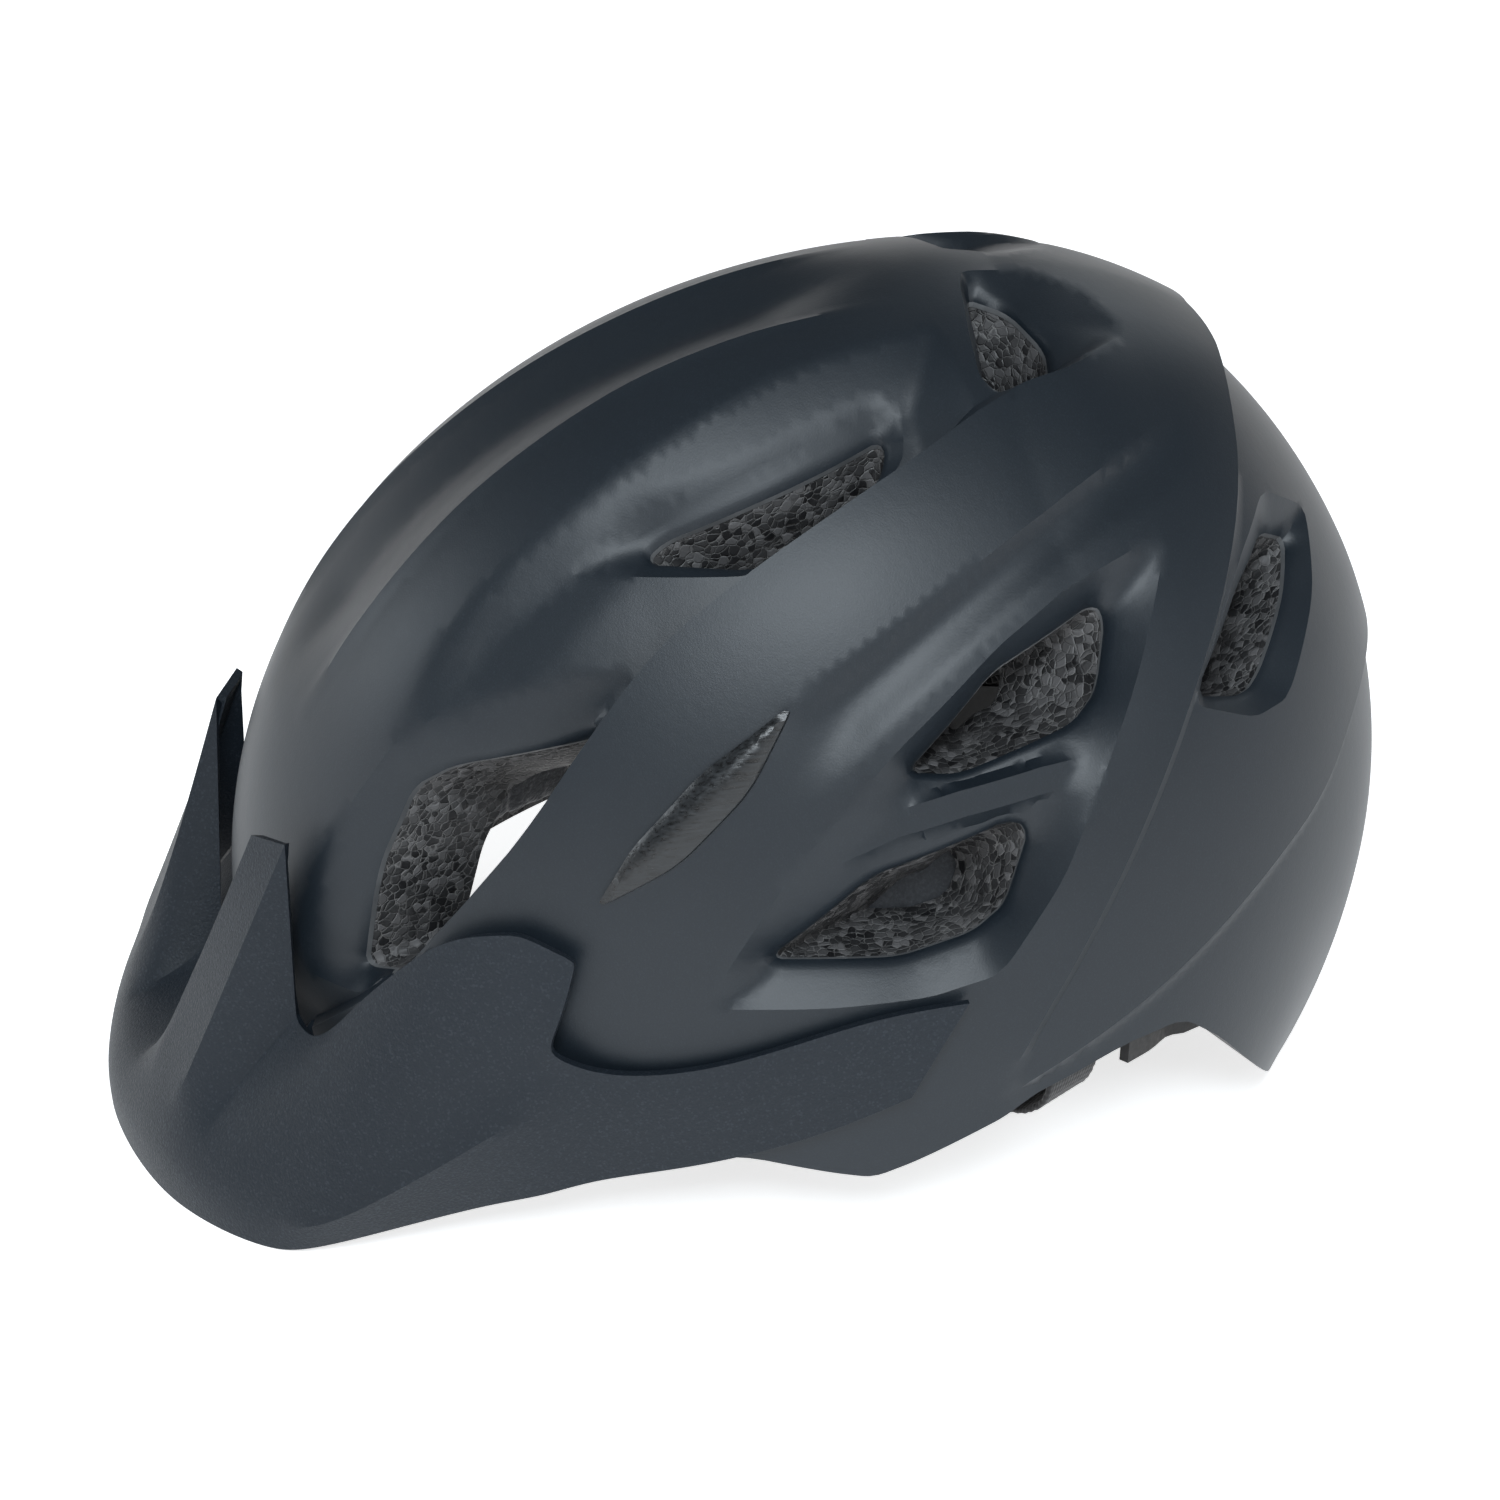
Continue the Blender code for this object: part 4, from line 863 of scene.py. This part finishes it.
def build_stitches(name, side, route, across, starts, body, material):
    """Bar tacks: rows of short raised threads across the strap."""
    frames, steps = web_frames(route, across)
    points, faces = [], []
    for start in starts:
        at, wide, up = sampled(frames, steps, start)
        ahead = np.cross(wide, up)
        for u in np.linspace(-5.4, 5.4, 7):
            for top in (1, -1):
                first = len(points)
                middle = at + wide * u + up * top * (WEB_THICK / 2 + 0.12)
                for share, thin in ((-1.0, 0.35), (-0.6, 1.0), (0.6, 1.0), (1.0, 0.35)):
                    for k in range(6):
                        turn = math.pi * k / 3
                        off = ahead * math.cos(turn) * 0.24 * thin + up * math.sin(turn) * 0.2 * thin
                        spot = middle + wide * share * 0.72 + ahead * share * 0.3 + off
                        points.append(spot * [side, 1, 1])
                for ring in range(3):
                    for k in range(6):
                        a, b = first + 6 * ring + k, first + 6 * ring + (k + 1) % 6
                        faces.append([a, b, b + 6, a + 6])
                faces += [[first + k for k in range(6)][::-1], [first + 18 + k for k in range(6)]]
    new_piece(name, points, faces, material, body, "webbing", (), 80.0)


BUCKLE_Z, OVER_DIVIDER = 5.4, 5.6  # height of the chin strap at the buckle and over the divider
TACKS, CHIN_TACKS = (7.0, 8.6, 10.2), (10.0, 11.8)  # how far along a strap each row of thread is
CHIN_LEFT = [(0, 31), (1, 36), (12, 43), (28, 38), (40, 24), (44, 8), (44, 3)]
CHIN_RIGHT = [(0, -29), (1, -34), (12, -40), (28, -32), (40, -10), (44, 8), (44, 14)]


def build_straps(material, thread):
    """The six straps, folded flat inside the cavity, with their bar tacks."""
    front = [cavity_point(-34.0, 50.0, 7.4), cavity_point(-34.0, 30.0, 9.5), (59.0, -40.0, 11.0)]
    front += [(51.0, -30.0, 3.6), (46.0, -14.0, 2.4), (44.0, 1.0, 2.4)]
    rear = [cavity_point(16.0, 46.0, 7.4), cavity_point(16.0, 28.0, 8.5), (66.0, 23.0, 11.0)]
    rear += [(61.0, 19.5, 4.8), (57.0, 16.5, 3.2)]
    for word, side in (("left", 1), ("right", -1)):
        across = (cavity_tangent(-34.0, 40.0), (1.0, 0.0, 0.0))
        build_webbing(f"strap_front_{word}", side, front, across, "helmet", material)
        build_stitches(f"bar_tack_front_{word}", side, front, across, TACKS, "helmet", thread)
        across = (cavity_tangent(16.0, 40.0), (-0.6, 0.8, 0.0))
        build_webbing(f"strap_rear_{word}", side, rear, across, "helmet", material)
        build_stitches(f"bar_tack_rear_{word}", side, rear, across, TACKS, "helmet", thread)
    for word, side, flat, body in (("left", 1, CHIN_LEFT, "helmet"), ("right", -1, CHIN_RIGHT, "buckle")):
        route = [(x, y, BUCKLE_Z if i < 4 else OVER_DIVIDER) for i, (x, y) in enumerate(flat)]
        build_webbing(f"chin_strap_{word}", side, route, None, body, material)
        build_stitches(f"bar_tack_chin_{word}", side, route, None, CHIN_TACKS, body, thread)


# Materials.


class Nodes:
    """A material's node tree with short calls for adding and linking nodes."""

    def __init__(self, name):
        self.material = bpy.data.materials.new(name)
        self.material.use_nodes = True
        self.tree = self.material.node_tree
        self.shader = self.tree.nodes["Principled BSDF"]
        self.place = self.add("ShaderNodeTexCoord").outputs["Object"]

    def add(self, kind, inputs=None, **settings):
        node = self.tree.nodes.new(kind)
        for key, value in settings.items():
            setattr(node, key, value)
        for key, value in (inputs or {}).items():
            self.set(node.inputs[key], value)
        return node

    def set(self, socket, value):
        if isinstance(value, bpy.types.NodeSocket):
            self.tree.links.new(value, socket)
        else:
            socket.default_value = value

    def shade(self, **inputs):
        for key, value in inputs.items():
            self.set(self.shader.inputs[key.replace("_", " ")], value)

    def noise(self, scale, detail=2.0, place=None, output="Fac"):
        inputs = {"Vector": place or self.place, "Scale": scale, "Detail": detail}
        return self.add("ShaderNodeTexNoise", inputs).outputs[output]

    def voronoi(self, scale, place=None, feature="F1"):
        inputs = {"Vector": place or self.place, "Scale": scale}
        return self.add("ShaderNodeTexVoronoi", inputs, feature=feature)

    def vector_math(self, operation, inputs):
        return self.add("ShaderNodeVectorMath", inputs, operation=operation).outputs[0]

    def red(self, color):
        return self.add("ShaderNodeSeparateColor", {0: color}).outputs[0]

    def ramp(self, value, stops):
        node = self.add("ShaderNodeValToRGB", {"Fac": value})
        ramp = node.color_ramp
        while len(ramp.elements) < len(stops):
            ramp.elements.new(0.5)
        for element, (at, color) in zip(ramp.elements, stops):
            element.position = at
            element.color = (*color, 1.0) if len(color) == 3 else color
        return node.outputs["Color"]

    def range(self, value, low, high, to_low, to_high):
        node = self.add("ShaderNodeMapRange", {0: value, 1: low, 2: high, 3: to_low, 4: to_high})
        return node.outputs[0]

    def math(self, operation, first, second=0.0):
        return self.add("ShaderNodeMath", {0: first, 1: second}, operation=operation).outputs[0]

    def mix(self, share, first, second, blend="MIX"):
        node = self.add("ShaderNodeMix", data_type="RGBA", blend_type=blend)
        for index, value in ((0, share), (6, first), (7, second)):
            if isinstance(value, tuple):
                value = (*value, 1.0)
            self.set(node.inputs[index], value)
        return node.outputs[2]

    def stretched(self, scale, turn=(0.0, 0.0, 0.0)):
        node = self.add("ShaderNodeMapping", {"Vector": self.place, "Scale": scale, "Rotation": turn})
        return node.outputs["Vector"]

    def bump(self, height, strength, distance, before=None):
        inputs = {"Height": height, "Strength": strength, "Distance": distance}
        if before is not None:
            inputs["Normal"] = before
        return self.add("ShaderNodeBump", inputs).outputs["Normal"]


def skin_material():
    """Satin moulded polycarbonate: a soft orange-peel surface with faint clouding."""
    nodes = Nodes("satin_skin")
    cloud = nodes.noise(14.0, 3.0)
    grain = nodes.noise(2600.0, 1.0)
    peel = nodes.noise(420.0, 2.0)
    color = nodes.ramp(cloud, [(0.3, (0.0068, 0.0110, 0.0160)), (0.7, (0.0082, 0.0130, 0.0188))])
    color = nodes.mix(nodes.range(grain, 0.5, 0.8, 0.0, 0.35), color, (0.018, 0.027, 0.036))
    rough = nodes.range(cloud, 0.3, 0.7, 0.41, 0.47)
    normal = nodes.bump(grain, 0.10, 0.0002)
    nodes.shade(Base_Color=color, Roughness=rough, Specular_IOR_Level=0.42)
    nodes.shade(Normal=nodes.bump(peel, 0.05, 0.0005, normal))
    return nodes.material


def foam_material():
    """Moulded bead foam: cells about 2 mm across with paler walls between them."""
    nodes = Nodes("bead_foam")
    warp = nodes.noise(260.0, output="Color")
    shift = nodes.vector_math("SUBTRACT", {0: warp, 1: (0.5, 0.5, 0.5)})
    shift = nodes.vector_math("SCALE", {0: shift, "Scale": 0.0022})
    place = nodes.vector_math("ADD", {0: nodes.place, 1: shift})
    cells = nodes.voronoi(540.0, place)
    walls = nodes.voronoi(540.0, place, "DISTANCE_TO_EDGE")
    tone = nodes.red(cells.outputs["Color"])
    body = nodes.ramp(tone, [
        (0.0, (0.007, 0.007, 0.008)), (0.5, (0.022, 0.022, 0.023)), (1.0, (0.110, 0.108, 0.110)),
    ])
    cloud = nodes.noise(90.0, 3.0)
    body = nodes.mix(nodes.range(cloud, 0.45, 0.75, 0.0, 0.5), body, (0.085, 0.083, 0.084))
    wall = nodes.range(walls.outputs["Distance"], 0.01, 0.045, 1.0, 0.0)
    wall = nodes.math("MULTIPLY", wall, nodes.range(nodes.noise(170.0, 2.0), 0.35, 0.65, 0.15, 0.9))
    color = nodes.mix(wall, body, (0.17, 0.168, 0.165))
    height = nodes.range(walls.outputs["Distance"], 0.0, 0.14, 0.0, 1.0)
    nodes.shade(Base_Color=color, Roughness=nodes.range(tone, 0.0, 1.0, 0.42, 0.62), Specular_IOR_Level=0.45)
    nodes.shade(Normal=nodes.bump(height, 0.6, 0.0004))
    return nodes.material


def visor_material():
    """Spark-textured moulded plastic."""
    nodes = Nodes("textured_visor")
    grain = nodes.noise(1700.0, 3.0)
    tone = nodes.red(nodes.voronoi(2300.0).outputs["Color"])
    cloud = nodes.noise(20.0, 2.0)
    color = nodes.ramp(cloud, [(0.3, (0.0065, 0.0105, 0.0160)), (0.7, (0.0080, 0.0125, 0.0185))])
    color = nodes.mix(nodes.range(tone, 0.80, 1.0, 0.0, 0.28), color, (0.040, 0.050, 0.064))
    normal = nodes.bump(grain, 0.42, 0.0004)
    nodes.shade(Base_Color=color, Roughness=nodes.range(grain, 0.3, 0.7, 0.48, 0.60), Normal=normal)
    nodes.shade(Specular_IOR_Level=0.30)
    return nodes.material


def insert_material():
    """Gloss plastic with a fine lengthwise brushed grain."""
    nodes = Nodes("brushed_insert")
    place = nodes.stretched((1900.0, 130.0, 1900.0), (math.radians(-38.0), 0.0, 0.0))
    grain = nodes.noise(1.0, 4.0, place)
    color = nodes.ramp(grain, [(0.3, (0.003, 0.0035, 0.004)), (0.75, (0.017, 0.020, 0.023))])
    rough = nodes.range(grain, 0.3, 0.7, 0.24, 0.40)
    nodes.shade(Base_Color=color, Roughness=rough, Normal=nodes.bump(grain, 0.25, 0.0003))
    nodes.shade(Specular_IOR_Level=0.5)
    return nodes.material


def moulded_material(name, dark, pale, rough, scale=900.0):
    """Moulded plastic with a fine eroded texture."""
    nodes = Nodes(name)
    cloud = nodes.noise(60.0, 3.0)
    grain = nodes.noise(scale, 2.0)
    color = nodes.ramp(cloud, [(0.3, dark), (0.75, pale)])
    nodes.shade(Base_Color=color, Roughness=nodes.range(grain, 0.3, 0.7, rough - 0.05, rough + 0.07))
    nodes.shade(Normal=nodes.bump(grain, 0.22, 0.0003), Specular_IOR_Level=0.5)
    return nodes.material


def woven_material(name, dark, pale, pitch):
    """Ribbed woven polyester: ribs across the object's axes with fine thread noise."""
    nodes = Nodes(name)
    parts = nodes.add("ShaderNodeSeparateXYZ", {0: nodes.place})
    waves = []
    for axis, share in ((0, 1.0), (1, 1.0), (2, 0.8)):
        turn = nodes.math("MULTIPLY", parts.outputs[axis], 2 * math.pi / pitch * share)
        waves.append(nodes.math("SINE", turn))
    weave = nodes.math("MULTIPLY", waves[0], waves[1])
    weave = nodes.math("ADD", weave, nodes.math("MULTIPLY", waves[2], 0.5))
    thread = nodes.noise(2400.0, 2.0)
    height = nodes.math("ADD", nodes.range(weave, -1.5, 1.5, 0.0, 1.0), nodes.math("MULTIPLY", thread, 0.35))
    # Colour follows the weave's height: darker in the hollows between ribs, a painted shade, and paler on the
    # ribs; the thread noise adds random tone.
    color = nodes.mix(nodes.range(height, 0.3, 1.1, 0.0, 1.0), dark, pale)
    nodes.shade(Base_Color=color, Roughness=0.82, Sheen_Weight=0.25, Sheen_Roughness=0.5)
    nodes.shade(Normal=nodes.bump(height, 0.5, 0.0004))
    return nodes.material


def pad_material():
    """Brushed knit over foam: short nap with a faint mesh."""
    nodes = Nodes("pad_knit")
    cells = nodes.voronoi(620.0)
    nap = nodes.noise(1500.0, 3.0)
    cloud = nodes.noise(45.0, 3.0)
    color = nodes.ramp(cloud, [(0.3, (0.030, 0.032, 0.036)), (0.7, (0.048, 0.051, 0.057))])
    color = nodes.mix(nodes.range(nap, 0.45, 0.75, 0.0, 0.5), color, (0.085, 0.090, 0.100))
    height = nodes.math("ADD", nodes.range(cells.outputs["Distance"], 0.0, 0.8, 1.0, 0.0), nap)
    nodes.shade(Base_Color=color, Roughness=0.95, Sheen_Weight=0.5, Sheen_Roughness=0.4)
    nodes.shade(Normal=nodes.bump(height, 0.5, 0.0005))
    return nodes.material


SKIN_LOOK, FOAM_LOOK, VISOR_LOOK = skin_material(), foam_material(), visor_material()
INSERT_LOOK, PAD_LOOK = insert_material(), pad_material()
NYLON_LOOK = moulded_material("moulded_nylon", (0.012, 0.012, 0.013), (0.020, 0.020, 0.021), 0.46)
DIAL_LOOK = moulded_material("moulded_dial", (0.050, 0.055, 0.060), (0.065, 0.070, 0.076), 0.5)
BUCKLE_LOOK = moulded_material("moulded_acetal", (0.011, 0.011, 0.012), (0.017, 0.017, 0.018), 0.38)
# Pale grey for the skin's vent walls: a painted highlight along its cut edge.
PAINTED_EDGE_HIGHLIGHT_LOOK = moulded_material("painted_edge_highlight", (0.055, 0.058, 0.062), (0.16, 0.165, 0.17), 0.5, 700.0)
WEBBING_LOOK = woven_material("woven_webbing", (0.008, 0.008, 0.009), (0.030, 0.030, 0.032), 0.0013)
THREAD_LOOK = woven_material("bar_tack_thread", (0.030, 0.030, 0.032), (0.075, 0.075, 0.080), 0.0005)
HOOK_LOOK = woven_material("hook_and_loop", (0.008, 0.008, 0.009), (0.035, 0.035, 0.037), 0.0008)
LOOKS = {
    "skin": SKIN_LOOK, "foam": FOAM_LOOK, "visor": VISOR_LOOK, "insert": INSERT_LOOK, "nylon": NYLON_LOOK,
    "dial": DIAL_LOOK, "pad": PAD_LOOK, "hook_pad": HOOK_LOOK, "webbing": WEBBING_LOOK, "buckle": BUCKLE_LOOK,
}
for part in frame["record"]["subparts"]:
    node = frame["nodes"][part["node"]]
    node.data.materials.clear()
    node.data.materials.append(LOOKS[part["material_slot"]])


# Stage.

FLOOR_HALF = 14.0
FLOOR_DROP = 0.0002  # keeps the floor clear of the faces that stand on it
BACKDROP = ((13.0, -0.01), (13.6, 3.2))  # reach and height of its lower and upper edge
BACKDROP_SIDES = 64
LAMPS = [  # name, place, size, watts
    ("key", (1.05, -0.22, 1.20), 0.6, 19.0), ("front", (-0.45, -1.5, 0.75), 0.6, 6.0),
    ("side", (1.3, 0.7, 0.9), 0.5, 2.5), ("back", (-1.2, 1.0, 1.1), 0.8, 2.5),
]
LAMP_COLOUR = (0.86, 0.94, 1.0)
AIM = Vector((0.0, 0.0, 0.09))


def stage_object(name, points, faces, material):
    mesh = bpy.data.meshes.new(name)
    mesh.from_pydata(points, [], faces)
    mesh.materials.append(material)
    return new_object(name, mesh)


def build_stage():
    corners = [(x * FLOOR_HALF, y * FLOOR_HALF, 0) for x, y in ((-1, -1), (1, -1), (1, 1), (-1, 1))]
    nodes = Nodes("floor")
    tint = nodes.ramp(nodes.noise(3.0), [(0.3, (0.90, 0.90, 0.90)), (0.7, (0.92, 0.92, 0.92))])
    nodes.shade(Base_Color=tint, Roughness=0.9, Emission_Color=(1.0, 1.0, 1.0, 1.0), Emission_Strength=0.72)
    floor = stage_object("floor", corners, [[0, 1, 2, 3]], nodes.material)
    floor.location.z = -FLOOR_DROP
    sides = range(BACKDROP_SIDES)
    turns = [2 * math.pi * i / BACKDROP_SIDES for i in sides]
    points = [(math.cos(t) * reach, math.sin(t) * reach, z) for t in turns for reach, z in BACKDROP]
    quads = [[2 * i, 2 * i + 1, (2 * i + 3) % len(points), (2 * i + 2) % len(points)] for i in sides]
    wall = stage_object("backdrop", points, quads, nodes.material)
    world = bpy.data.worlds.new("studio")
    bpy.context.scene.world = world
    world.use_nodes = True
    background = world.node_tree.nodes["Background"]
    background.inputs["Color"].default_value = (1.0, 1.0, 1.0, 1.0)
    background.inputs["Strength"].default_value = 0.14
    bpy.context.scene.view_settings.view_transform = "Standard"
    for name, place, size, power in LAMPS:
        data = bpy.data.lights.new(name, "AREA")
        data.shape, data.size, data.energy, data.color = "SQUARE", size, power, LAMP_COLOUR
        lamp = new_object(name, data)
        lamp.location = place
        lamp.rotation_mode = "QUATERNION"
        lamp.rotation_quaternion = (AIM - Vector(place)).to_track_quat("-Z", "Y")


build_stage()
build_shell(SKIN_LOOK, FOAM_LOOK, PAINTED_EDGE_HIGHLIGHT_LOOK)
build_visor(VISOR_LOOK)
build_inserts(INSERT_LOOK)
for row in PADS:
    build_pad(*row, PAD_LOOK)
build_straps(WEBBING_LOOK, THREAD_LOOK)
for part in frame["record"]["subparts"]:
    if part["material_slot"] in ("nylon", "dial", "buckle"):
        add_bevel(frame["nodes"][part["node"]], 0.3, 2, 40.0)
